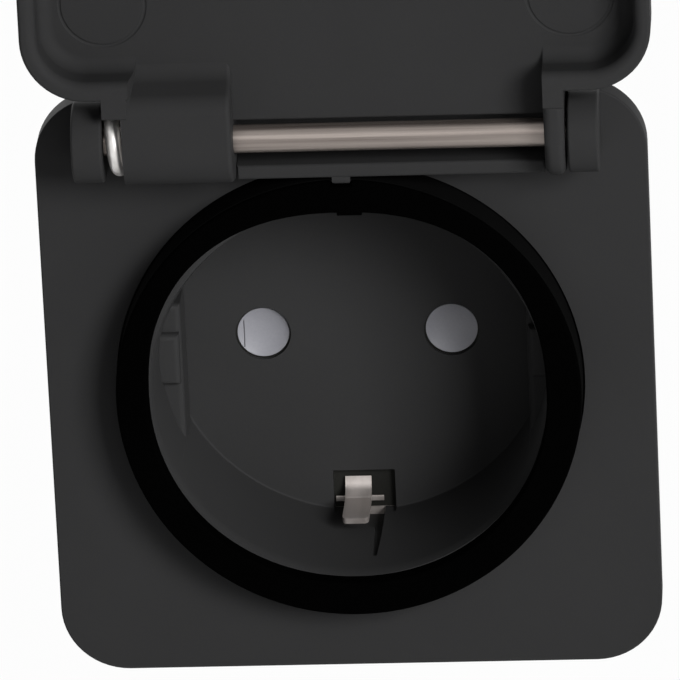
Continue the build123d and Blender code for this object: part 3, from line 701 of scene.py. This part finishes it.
def make_recess_cup():
    """Collar and recess, with guide ribs on pads, pin holes, clip slots and pockets."""
    outer_r = recess_r + recess_wall
    collar_end_y = face_y + collar_depth
    mouth_r, mouth_y = ring_inner_r - 0.02, face_y - 1.3
    floor_fillet = 0.2
    cup = turned("recess_cup", [
        (0, floor_y), (recess_r, floor_y), (recess_r, mouth_y), (mouth_r, collar_y),
        (collar_r, collar_y), (collar_r, collar_end_y), (outer_r, collar_end_y),
        (outer_r, cup_back_y), (0, cup_back_y),
    ])
    round_edges(cup, ring_at(recess_r, floor_y), floor_fillet, steps=3)
    pad_y, pad_low, pad_high = face_y + 7.6, -9.0, 5.6
    rib_y, rib_set_back = face_y + 6.6, 0.2
    rib_edge, rib_end_y = 0.6, floor_y + 0.4
    for side in (-1, 1):
        for name, reach, front_y, low_z, high_z in (
            ("pad", rib_reach, pad_y, pad_low, pad_high),
            ("rib", rib_reach + rib_set_back, rib_y, -guide_width / 2, guide_width / 2),
        ):
            x_ends = span(side, reach, recess_r + recess_wall / 2)
            rib = block(name, (x_ends[0], front_y, low_z), (x_ends[1], rib_end_y, high_z))
            round_edges(rib, lies_at(1, front_y), rib_edge, steps=4)
            weld(cup, rib)
    # The back of the floor is hollow where the shutter's raised band turns
    through_y = cup_back_y + past
    room, skin = 0.3, 0.3
    space_r, space_end_r, space_y = band_inner_r - room, band_outer_r + room, floor_y + skin
    cut(cup, tube("band_space", space_r, space_end_r, space_y, through_y, sides=96))
    slot_gap = 0.02
    pocket_half, pocket_rise, pocket_depth = 2.0, 4.5, 0.9
    for side in (-1, 1):
        centre = (side * pin_x, 0)
        cut(cup, rod("pin_hole", pin_hole_r, floor_y - 3 * past, through_y, "Y", centre, sides=72))
        low_z, high_z = span(side, recess_r + slot_gap, recess_r - slot_length)
        cut(cup, block("clip_slot", (-slot_half, floor_y - past, low_z), (slot_half, through_y, high_z)))
        low_z, high_z = span(side, recess_r - past, recess_r + pocket_depth)
        pocket_low = (-pocket_half, floor_y - pocket_rise, low_z)
        cut(cup, block("clip_pocket", pocket_low, (pocket_half, through_y, high_z)))
    groove_ends = []
    for name, x_ends, y_ends, depth in (
        ("groove_low", (1.15, 1.95), (floor_y - 6.8, floor_y - 4.4), 0.45),
        ("groove_top", (1.35, 1.7), (face_y + 1.4, face_y + 2), 0.25),
    ):
        low = (x_ends[0], y_ends[0], -recess_r - depth)
        groove_ends.append(block(name, low, (x_ends[1], y_ends[1], -recess_r + past)))
    cut(cup, hulled("key_groove", *groove_ends))
    # The cup takes the lighter recess plastic: painted light in the shaded recess.
    finish_piece(cup, "housing", "recess_plastic", "socket_cup")


def make_seal():
    """Rubber ring with a skirt over the collar, a tab inside and a notch outside at the top."""
    top_y = ring_low.y
    blank_r, seat_r, lip_r = ring_inner_r - past, collar_r + 0.1, ring_outer_r - 0.05
    lip_y, seal_edge = top_y + 0.5, 0.3
    seal = turned("seal", [
        (blank_r, collar_y), (seat_r, collar_y), (lip_r, lip_y), (lip_r, top_y),
        (blank_r, top_y), (blank_r, collar_y),
    ])
    round_edges(seal, ring_at(lip_r, top_y), seal_edge, steps=4)
    # The lower half of the outer rim is a little longer than round
    stretched_r, stretch = collar_r - 0.5, 1.014
    edit(seal)
    pick(seal, "verts", lambda v: v.co.z < 0 and v.co.xz.length > stretched_r)
    bpy.ops.transform.resize(value=(1, 1, stretch), center_override=(0, 0, 0))
    leave()
    skirt_r, skirt_end_y = collar_r + 0.02, ring_high.y
    skirt_inner_y, skirt_top_y = collar_y + 0.3, top_y + 0.45
    skirt = turned("seal_skirt", [
        (skirt_r, skirt_inner_y), (seat_r, skirt_top_y), (ring_outer_r, skirt_top_y),
        (ring_outer_r, skirt_end_y), (skirt_r, skirt_end_y), (skirt_r, skirt_inner_y),
    ])
    # The skirt takes the lighter rubber, painted light standing in for light falling on its side.
    finish_piece(skirt, "housing", "black_rubber", look="skirt_rubber")
    cut(seal, prism("seal_opening", opening_outline(), top_y - past, collar_y + past))
    opening_r = ring_inner_r + 1
    at_top = lies_at(1, top_y)
    round_edges(seal, lambda e: at_top(e) and e.verts[0].co.xz.length < opening_r, seal_edge, steps=4)
    seat_y = collar_y - 0.1
    tab_left_x, tab_right_x, tab_edge = -0.35, 2.15, 0.2
    tab_y, tab_low, tab_high = top_y + 0.5, ring_inner_r - 0.75, ring_inner_r + 0.6
    tab = block("seal_tab", (tab_left_x, tab_y, tab_low), (tab_right_x, seat_y, tab_high))
    round_edges(tab, lies_at(2, tab_low), tab_edge, steps=2)
    weld(seal, tab)
    notch_left_x, notch_right_x, notch_low = -0.85, 1.35, ridge_bottom - 0.95
    notch_corner = (notch_right_x, seat_y, ridge_bottom + past)
    cut(seal, block("seal_notch", (notch_left_x, top_y - past, notch_low), notch_corner))
    finish_piece(seal, "housing", "black_rubber", "seal_ring")


def opening_outline():
    """Opening of the seal: nearly round, a little squarer and lower across the top."""
    count = 160
    upper_power, upper_height = 2.3, ring_inner_r - 0.25
    lower_power, lower_height = 2.06, ring_inner_r
    left_r, right_r = ring_inner_r, ring_inner_r - 0.3
    points = []
    for i in range(count):
        turn = 2 * pi * i / count
        power, height = (upper_power, upper_height) if sin(turn) > 0 else (lower_power, lower_height)
        x = abs(cos(turn)) ** (2 / power) * (left_r if cos(turn) < 0 else right_r)
        z = abs(sin(turn)) ** (2 / power) * height
        points.append((x if cos(turn) > 0 else -x, z if sin(turn) > 0 else -z))
    return points


def make_earth_clips():
    """Sprung earth clips above and below, on a ring behind the recess floor."""
    tip_y, tip_reach, tip_edge = floor_y - 6.7, 0.3, 0.45
    left_x, right_x = -1.95, 0.7
    outline = [
        (floor_y + 0.6, -16.0), (floor_y + 0.4, -16.75), (floor_y - 0.1, -17.3),
        (floor_y - 0.8, -17.6), (floor_y - 1.0, -17.8), (floor_y - 1.2, -17.65),
        (floor_y - 3.0, -17.75), (tip_y + 0.5, -17.5), (tip_y, -17.6),
    ]
    lag, thickness = 0.1, 0.6
    under = [(y + lag, z - thickness) for y, z in outline[::-1]]
    clip = slab("earth_clip", outline + under, left_x, right_x)
    tip_end_y = tip_y + tip_reach
    round_edges(
        clip, lambda e: not runs_along(0)(e) and max(v.co.y for v in e.verts) < tip_end_y, tip_edge, steps=4
    )
    wing_left_x, wing_right_x, wing_edge = -2.95, 1.9, 0.1
    wing_start_y, wing_end_y = cup_back_y - 0.6, cup_back_y - 0.35
    wing_low, wing_high = -18.7, -18.1
    wing = block("clip_wing", (wing_left_x, wing_start_y, wing_low), (wing_right_x, wing_end_y, wing_high))
    round_edges(wing, runs_along(0), wing_edge, steps=2)
    pair = joined("clip_below", clip, wing)
    above = mirrored(copied(pair, "clip_above"), 2)
    ring_r, ring_end_r, ring_y, ring_end_y = 17.0, 20.8, cup_back_y + 0.02, cup_back_y + 0.8
    ring = tube("clip_ring", ring_r, ring_end_r, ring_y, ring_end_y, sides=96)
    # Black sheets at the back of the clip slots are painted shade, standing in for the shadow inside the slots.
    shade_sheet_half, shade_sheet_length, shade_sheet_gap = slot_half - 0.02, slot_length - 0.02, 0.05
    shade_sheet_start_y, shade_sheet_end_y = cup_back_y - 0.1, cup_back_y - 0.02
    for side, name in ((-1, "below"), (1, "above")):
        low_z, high_z = span(side, recess_r - shade_sheet_length, recess_r - shade_sheet_gap)
        low = (-shade_sheet_half, shade_sheet_start_y, low_z)
        shade_sheet = block(f"slot_backing_{name}", low, (shade_sheet_half, shade_sheet_end_y, high_z))
        finish_piece(shade_sheet, "housing", "component_black")
    clips = joined("earth_clips", pair, above, ring)
    finish_piece(clips, "housing", "nickel", "earth_bracket", look="clip_nickel")


def make_shutter():
    """Turning disc behind the pin holes: a raised band, a dish behind each hole and two windows."""
    disc = rod("shutter_disc", shutter_high.x, shutter_low.y, shutter_high.y, sides=128)
    band_y, band_end_y = floor_y + 0.36, shutter_low.y + 0.4
    weld(disc, tube("shutter_band", band_inner_r, band_outer_r, band_y, band_end_y, sides=128))
    dish_r, ball_r, groove_r, groove_depth = 2.6, 6.4, 2.86, 1.4
    # Sizes of the black ring of painted shade round each dish
    shade_ring_r, shade_ring_core_r, shade_ring_start, shade_ring_end = 2.84, dish_r + 0.02, 0.08, 0.6
    window_r, turn = 3.0, radians(42)
    ball_y = band_y - sqrt(ball_r**2 - dish_r**2)
    core_ends = (band_y - 2 * past, band_y + 2 * past)
    for side, name in ((-1, "left"), (1, "right")):
        centre = (side * pin_x, 0)
        cut(disc, ball("dish_ball", ball_r, (side * pin_x, ball_y, 0)))
        groove = rod("dish_ring", groove_r, band_y - past, band_y + groove_depth, "Y", centre, sides=96)
        cut(disc, cut(groove, rod("dish_core", dish_r, *core_ends, "Y", centre, sides=96)))
        # A black ring in the groove round each dish is painted shade, standing in for the shadowed gap round each
        # pin hole.
        gap = rod(f"dish_gap_{name}", shade_ring_r, band_y + shade_ring_start, band_y + shade_ring_end, "Y", centre, sides=96)
        cut(gap, rod("gap_core", shade_ring_core_r, *core_ends, "Y", centre, sides=96))
        finish_piece(gap, "shutter", "component_black")
        window = (side * pin_x * cos(turn), side * pin_x * sin(turn))
        cut(disc, rod("window", window_r, band_y - past, shutter_high.y + past, "Y", window, sides=64))
    line_left_x, line_right_x, line_low, line_high = -11.5, -11.4, -1.6, 1.3
    line_start_y, line_end_y = band_y - 0.1, band_y + 0.44
    cut(disc, block(
        "dish_line", (line_left_x, line_start_y, line_low), (line_right_x, line_end_y, line_high)
    ))
    pivot_r = 2.05
    cut(disc, rod("pivot_hole", pivot_r, shutter_low.y - past, shutter_high.y + past, sides=48))
    finish_piece(disc, "shutter", "shutter_plastic", "shutter")


def make_lid():
    """Shallow tray with a spring barrel on the left and an arm on the right."""
    left, right = lid_mid_x - lid_half, lid_mid_x + lid_half
    lid = block("lid_tray", (left, -lid_rim, lid_start), (right, lid_back, lid_end))
    round_edges(lid, runs_along(1), lid_corner, corner_steps)
    hollow = block(
        "lid_hollow",
        (left + lid_wall, -lid_rim - past, lid_start + lid_hinge_wall),
        (right - lid_wall, 0, lid_end - lid_wall),
    )
    round_edges(hollow, runs_along(1), lid_corner - lid_wall, corner_steps)
    cut(lid, hollow)
    rim_inner_edge, rim_outer_edge, back_edge = 1.0, 0.35, 1.2
    at_rim = lies_at(1, -lid_rim)
    round_edges(lid, lambda e: lies_at(1, 0)(e) and is_corner(e), lid_fillet, steps=6)
    round_edges(lid, lambda e: at_rim(e) and is_corner(e) and inside_rim(e), rim_inner_edge, steps=5)
    round_edges(lid, lambda e: at_rim(e) and is_corner(e) and not inside_rim(e), rim_outer_edge, steps=3)
    round_edges(lid, lambda e: lies_at(1, lid_back)(e) and is_corner(e), back_edge, steps=5)
    opening_top = lid_start + lid_hinge_wall + lid_fillet
    opening_slope = (0.7, 0, 0)
    opening_low = (opening_left_x, -lid_rim - past, lid_start - past)
    opening = block("hinge_opening", opening_low, (arm_inner_x, 0, opening_top))
    shift_points(opening, lambda v: v.co.x < 0 and v.co.y > -1, opening_slope)
    cut(lid, opening)
    skirt_bottom, soft_edge = 1.85, 0.25
    skirt = block("skirt", (lid_left_x, 0, skirt_bottom), (arm_outer_x, lid_back, opening_top))
    round_edges(skirt, lambda e: lies_at(2, skirt_bottom)(e) and runs_along(0)(e), soft_edge, steps=3)
    weld(lid, skirt)
    barrel_edge, barrel_wall = 0.45, 1.6
    barrel = slab("barrel", [(-w, v) for v, w in barrel_outline()], barrel_outer_x, barrel_inner_x)
    round_edges(barrel, lies_at(0, barrel_inner_x), barrel_edge, steps=4)
    weld(lid, barrel)
    arm_edge, arm_soft_top = 0.75, 3
    arm = slab("arm", [(-w, v) for v, w in arm_outline()], arm_inner_x, arm_outer_x)
    for x in (arm_inner_x, arm_outer_x):
        round_edges(
            arm, lambda e: lies_at(0, x)(e) and min(v.co.z for v in e.verts) < arm_soft_top, arm_edge, steps=5
        )
    weld(lid, arm)
    lip_bottom, lip_top, lip_slope = 3.6, lid_start + 0.8, (0.4, 0, 0)
    lip_right_x, lip_end_y = opening_left_x - 0.1, -coil_bore_r + 0.2
    lip = block("coil_lip", (lid_left_x, -lid_rim + nudge, lip_bottom), (lip_right_x, lip_end_y, lip_top))
    shift_points(lip, lambda v: v.co.x > lid_left_x + 1 and v.co.y > -lid_rim + 0.5, lip_slope)
    round_edges(lip, lambda e: lies_at(2, lip_bottom)(e) and runs_along(0)(e), soft_edge, steps=3)
    weld(lid, lip)
    bore_left_x, shaft_gap = lid_left_x - past, 0.06
    cut(lid, rod("coil_bore", coil_bore_r, bore_left_x, barrel_inner_x - barrel_wall, "X", sides=72))
    cut(lid, rod("shaft_bore", shaft_r + shaft_gap, bore_left_x, arm_outer_x + past, "X", sides=64))
    # Two faint round marks in the floor of the hollow
    mark_r, mark_line_r, mark_x, mark_z = 4.2, 0.22, 22.8, 14.1
    for side in (-1, 1):
        deselect()
        bpy.ops.mesh.primitive_torus_add(
            major_segments=96, minor_segments=16, major_radius=mark_r, minor_radius=mark_line_r,
            location=(lid_mid_x + side * mark_x, -mark_line_r / 2, mark_z), rotation=(pi / 2, 0, 0),
        )
        cut(lid, settle(bpy.context.object))
    lid.matrix_world = Matrix.Translation((0, hinge_y, hinge_z)) @ Matrix.Rotation(-lid_lean, 4, "X")
    settle(lid)
    finish_piece(lid, "lid", "housing_plastic", "lid")


def inside_rim(edge):
    """Test for the edges of the lid's rim on the side of its hollow."""
    gap = lid_wall / 2
    return all(
        abs(v.co.x - lid_mid_x) < lid_half - gap and lid_start + gap < v.co.z < lid_end - gap
        and not outside_corner(v.co.x - lid_mid_x, v.co.z)
        for v in edge.verts
    )


def outside_corner(x, z):
    """Whether a point lies on the outer side of a rounded corner of the lid's rim."""
    side = max(abs(x) - (lid_half - lid_corner), 0)
    along = max(lid_start + lid_corner - z, z - (lid_end - lid_corner), 0)
    return sqrt(side**2 + along**2) > lid_corner - lid_wall / 2


def barrel_outline():
    """Barrel with a flat front, a hollow slope up to the lid's floor and a round underside.

    The points are (along the lid, towards the rim).
    """
    root, root_depth = 8.8, 0.02
    hollow_centre, crown_centre, bend_r = (8.2, 1.98), (3.8, barrel_r - 2.0), 2.0
    hollow = arc(hollow_centre, bend_r, 270, 200, steps=8)
    crown = arc(crown_centre, bend_r, 20, 90, steps=8)
    under = arc((0, 0), barrel_r, 90, 292, steps=56)
    return [(root, -lid_back), (root, -root_depth)] + hollow + crown + under


def arm_outline():
    """Arm with a round end about the shaft and a low step on its front."""
    top, step, slope = lid_start + 0.6, 3.75, 0.15
    front, end_r = lid_rim - nudge, lid_rim - 0.2
    edge = [(top, -lid_back), (top, front), (step + slope, front), (step, end_r)]
    return edge + arc((0, 0), end_r, 90, 270, steps=40)


def make_shaft():
    """Plated hinge shaft with chamfered ends."""
    chamfer = 0.2
    shaft = rod("shaft", shaft_r, shaft_low.x, shaft_high.x, "X", hinge_axis, sides=96)
    round_edges(shaft, lambda e: lies_at(0, shaft_low.x)(e) or lies_at(0, shaft_high.x)(e), chamfer, steps=2)
    finish_piece(shaft, "housing", "shaft_steel", "hinge_shaft")


def make_coil():
    """Torsion spring of the lid: a wire's end carried round the shaft, turn by turn."""
    wire_r, coil_r, turns, turn_gap = 0.76, 2.64, 6, 0.05
    start_x = -ear_inner_x + wire_r + 0.02
    deselect()
    bpy.ops.mesh.primitive_circle_add(
        vertices=32, radius=wire_r, location=(start_x, 0, coil_r), rotation=(pi / 2, 0, 0)
    )
    coil = settle(bpy.context.object)
    coil.name = coil.data.name = "lid_spring"
    bpy.ops.object.modifier_add(type="SCREW")
    screw = coil.modifiers[-1]
    screw.axis = "X"
    screw.angle = 2 * pi
    screw.iterations = turns
    screw.screw_offset = 2 * wire_r + turn_gap
    screw.steps = screw.render_steps = 72
    bpy.ops.object.modifier_apply(modifier=screw.name)
    edit(coil)
    outward(coil)
    bpy.ops.mesh.select_mode(type="EDGE")
    bpy.ops.mesh.select_all(action="DESELECT")
    bpy.ops.mesh.select_non_manifold()
    bpy.ops.mesh.edge_face_add()
    leave()
    coil.location = (0, hinge_y, hinge_z)
    settle(coil)
    finish_piece(coil, "housing", "spring_steel", "hinge_spring", angle=60)


def make_rear_case():
    """Rear case with the round plug: guide notches, earth grooves, pin seats and screw pockets."""
    case = turned("rear_case", [
        (0, plug_floor_y), (plug_bore_r, plug_floor_y), (plug_bore_r, rear_wall_y),
        (body_inner_r, rear_wall_y), (body_inner_r, rear_start_y), (body_r, rear_start_y),
        (body_r, rear_face_y), (plug_r, rear_face_y), (plug_r, plug_end_y), (0, plug_end_y),
    ])
    case_edge, plug_edge = 1.2, 1.0
    round_edges(case, ring_at(body_r, rear_face_y), case_edge, steps=6)
    round_edges(case, ring_at(body_r, rear_start_y), seam_edge, steps=3)
    round_edges(case, ring_at(plug_r, plug_end_y), plug_edge, steps=6)
    start_y, end_y = rear_face_y + nudge, plug_end_y + past
    notch_half, notch_depth = guide_width / 2, 1.6
    groove_half, groove_gap = strip_half + 0.05, 0.05
    seat_r, mark_r, mark_y = 3.3, 1.5, plug_end_y - 0.25
    pocket_r, pocket_y = screw_head_r + 0.1, rear_face_y - 1.65
    for side in (-1, 1):
        low_x, high_x = span(side, plug_r - notch_depth, plug_r + past)
        cut(case, block("guide_notch", (low_x, start_y, -notch_half), (high_x, end_y, notch_half)))
        low_z, high_z = span(side, strip_high.z - strip_thickness - groove_gap, plug_r + past)
        cut(case, block("earth_groove", (-groove_half, start_y, low_z), (groove_half, end_y, high_z)))
        cut(case, rod("pin_seat", seat_r, mark_y, end_y, "Y", (side * pin_x, nudge), sides=72))
        for up in (-1, 1):
            centre = (side * screw_x, up * screw_x)
            cut(case, rod("screw_pocket", pocket_r, pocket_y, rear_face_y + past, "Y", centre, sides=64))
    cut(case, rod("gate_mark", mark_r, mark_y, end_y, sides=64))
    finish_piece(case, "housing", "housing_plastic", "rear_shell")


def make_gasket():
    """Rubber seal between the body and the rear case, a little below their surface."""
    inset = 0.25
    gasket = tube("gasket", body_inner_r, body_r - inset, gasket_low.y, gasket_high.y)
    finish_piece(gasket, "housing", "black_rubber", "shell_gasket", look="skirt_rubber")


def make_plug_pins():
    """Two round plated pins with domed ends."""
    pin_r, dome = 2.4, 1.68
    for side, name in ((-1, "left"), (1, "right")):
        node = f"plug_pin_{name}"
        end_y = place_of(node)[1].y
        pin = rod(f"pin_{name}", pin_r, plug_floor_y, end_y, "Y", (side * pin_x, 0), sides=96)
        round_edges(pin, lies_at(1, end_y), dome, steps=8)
        finish_piece(pin, "housing", "nickel", node)


def make_plug_earth():
    """Earth strips above and below the plug, on a ring inside the rear case."""
    top, end_y = strip_high.z, strip_high.y
    start_y = rear_wall_y - strip_thickness
    tip_corner, strip_edge, ring_gap = 1.0, 0.3, 0.05
    strip = block("strip_above", (-strip_half, start_y, top - strip_thickness), (strip_half, end_y, top))
    round_edges(strip, lambda e: lies_at(1, end_y)(e) and runs_along(2)(e), tip_corner, steps=6)
    round_edges(strip, lambda e: lies_at(2, top)(e) and is_corner(e), strip_edge, steps=4)
    below = mirrored(copied(strip, "strip_below"), 2)
    ring = tube("strip_ring", plug_bore_r + ring_gap, strip_high.x, start_y, rear_wall_y - ring_gap, sides=96)
    strips = joined("plug_earth_strips", strip, below, ring)
    finish_piece(strips, "housing", "nickel", "plug_earth")


def make_screws():
    """Four screws with cross recesses, each turned its own way."""
    head_y = screws_high.y
    head_start_y, stem_end_y = head_y - 1.6, head_y - 1.5
    head_edge, stem_r = 0.4, 1.4
    reach, half, depth = 1.2, 0.24, 0.9
    screws = []
    for side, up, turn in ((-1, -1, 12), (-1, 1, 57), (1, -1, 31), (1, 1, 78)):
        centre = (side * screw_x, up * screw_x)
        screw = rod("screw", screw_head_r, head_start_y, head_y, "Y", centre, sides=64)
        round_edges(screw, lies_at(1, head_y), head_edge, steps=4)
        weld(screw, rod("stem", stem_r, screws_low.y, stem_end_y, "Y", centre, sides=48))
        cross = block("cross", (-reach, head_y - depth, -half), (reach, head_y + past, half))
        bar_low = (-half, head_y - depth - nudge, -reach)
        weld(cross, block("cross_bar", bar_low, (half, head_y + past + nudge, reach)))
        place = Matrix.Translation((centre[0], 0, centre[1]))
        cross.matrix_world = place @ Matrix.Rotation(radians(turn), 4, "Y")
        cut(screw, settle(cross))
        screws.append(screw)
    screws = joined("screws", *screws)
    finish_piece(screws, "housing", "screw_steel", "housing_screws")


def make_button():
    """Push button with a dished cap and a flange, in its rubber seal."""
    low, high = button_low, button_high
    centre = (0, (low.y + high.y) / 2)
    cap_r, cap_end, cap_edge = 3.5, high.z - 0.1, 0.8
    flange_r, flange_start = 4.3, high.z - 0.7
    button = rod("push_button", cap_r, low.z, cap_end, "Z", centre, sides=96)
    round_edges(button, lies_at(2, low.z), cap_edge, steps=6)
    weld(button, rod("button_flange", flange_r, flange_start, high.z, "Z", centre, sides=96))
    ball_r, dish_r = 12.0, 2.4
    cut(button, ball("button_dish", ball_r, (*centre, low.z - sqrt(ball_r**2 - dish_r**2))))
    finish_piece(button, "button", "button_plastic", "power_button")
    low, high = button_seal_low, button_seal_high
    bore_r, seal_edge = 3.56, 0.2
    seal = rod("button_seal_ring", high.x, low.z, high.z, "Z", centre, sides=96)
    cut(seal, rod("button_bore", bore_r, low.z - past, high.z + past, "Z", centre, sides=96))
    round_edges(seal, lambda e: lies_at(2, low.z)(e) and is_corner(e), seal_edge, steps=3)
    finish_piece(seal, "housing", "black_rubber", "button_seal", look="skirt_rubber")


def make_light_pipe():
    """Milky light pipe with a rounded end."""
    pipe_r, pipe_edge = (lens_high.x - lens_low.x) / 2, 0.4
    pipe = rod("light_pipe", pipe_r, lens_low.z, lens_high.z, "Z", lens_centre, sides=48)
    round_edges(pipe, lies_at(2, lens_low.z), pipe_edge, steps=5)
    finish_piece(pipe, "housing", "lens_white", "status_lens")


make_face_plate()
make_body_tube()
make_recess_cup()
make_seal()
make_earth_clips()
make_shutter()
make_lid()
make_shaft()
make_coil()
make_rear_case()
make_gasket()
make_plug_pins()
make_plug_earth()
make_screws()
make_button()
make_light_pipe()


def make_stage():
    """Pale floor, white for the camera, that keeps a faint shadow."""
    floor_size, floor_z, glow_share = 6, -0.09, 0.965
    deselect()
    bpy.ops.mesh.primitive_plane_add(size=floor_size, location=(0, 0, floor_z))
    floor = bpy.context.object
    floor.name = "floor"
    material = bpy.data.materials.new("floor_white")
    material.use_nodes = True
    tree = material.node_tree
    tree.nodes.clear()
    matte = tree.nodes.new("ShaderNodeBsdfDiffuse")
    matte.inputs["Color"].default_value = (0.86, 0.86, 0.86, 1)
    glow = tree.nodes.new("ShaderNodeEmission")
    glow.inputs["Strength"].default_value = 1.0
    share = math_node(tree, "MULTIPLY", seen_node(tree), glow_share)
    blend = tree.nodes.new("ShaderNodeMixShader")
    tree.links.new(share, blend.inputs["Fac"])
    tree.links.new(matte.outputs["BSDF"], blend.inputs[1])
    tree.links.new(glow.outputs["Emission"], blend.inputs[2])
    out = tree.nodes.new("ShaderNodeOutputMaterial")
    tree.links.new(blend.outputs["Shader"], out.inputs["Surface"])
    floor.data.materials.append(material)


def make_world():
    """White surroundings for the camera and for reflections, and almost no light of their own."""
    seen_level, lit_level = 0.992, 0.008
    world = bpy.data.worlds.new("studio")
    bpy.context.scene.world = world
    world.use_nodes = True
    tree = world.node_tree
    sky = tree.nodes["Background"]
    level = math_node(tree, "ADD", math_node(tree, "MULTIPLY", seen_node(tree), seen_level), lit_level)
    sky.inputs["Color"].default_value = (1, 1, 1, 1)
    tree.links.new(level, sky.inputs["Strength"])


def make_lamp(name, place, size, power):
    """A soft square lamp aimed at the middle of the face."""
    target = Vector((0, face_y * MM, 0.01))
    light = bpy.data.lights.new(name, "AREA")
    light.size = size
    light.energy = power
    lamp = bpy.data.objects.new(name, light)
    bpy.context.scene.collection.objects.link(lamp)
    lamp.location = place
    lamp.rotation_euler = (target - Vector(place)).to_track_quat("-Z", "Y").to_euler()


def make_camera():
    """Long lens, a little above and to the right, turned as in the photograph."""
    elevation, azimuth, roll = radians(21.85), radians(3.93), radians(-2.7)
    distance = 0.938
    aim = Vector((-0.87, face_y, 4.5)) * MM
    back = Vector((sin(azimuth) * cos(elevation), -cos(azimuth) * cos(elevation), sin(elevation)))
    right = Vector((cos(azimuth), sin(azimuth), 0))
    up = back.cross(right)
    across = right * cos(roll) + up * sin(roll)
    upward = up * cos(roll) - right * sin(roll)
    data = bpy.data.cameras.new("camera")
    data.sensor_width = 36.0
    data.lens = 500.8
    data.clip_start = 0.01
    data.clip_end = 20.0
    camera = bpy.data.objects.new("camera", data)
    bpy.context.scene.collection.objects.link(camera)
    place = Matrix((across, upward, back)).transposed().to_4x4()
    place.translation = aim + back * distance
    camera.matrix_world = place
    bpy.context.scene.camera = camera


make_stage()
make_world()
make_lamp("key", (0.54, -0.79, 0.37), size=0.4, power=9.4)
make_lamp("front", (0.1, -1.1, 0.6), size=0.5, power=1.0)
make_lamp("back", (-0.62, 0.8, 0.42), size=0.6, power=6.0)
make_camera()
bpy.context.scene.view_settings.view_transform = "Standard"
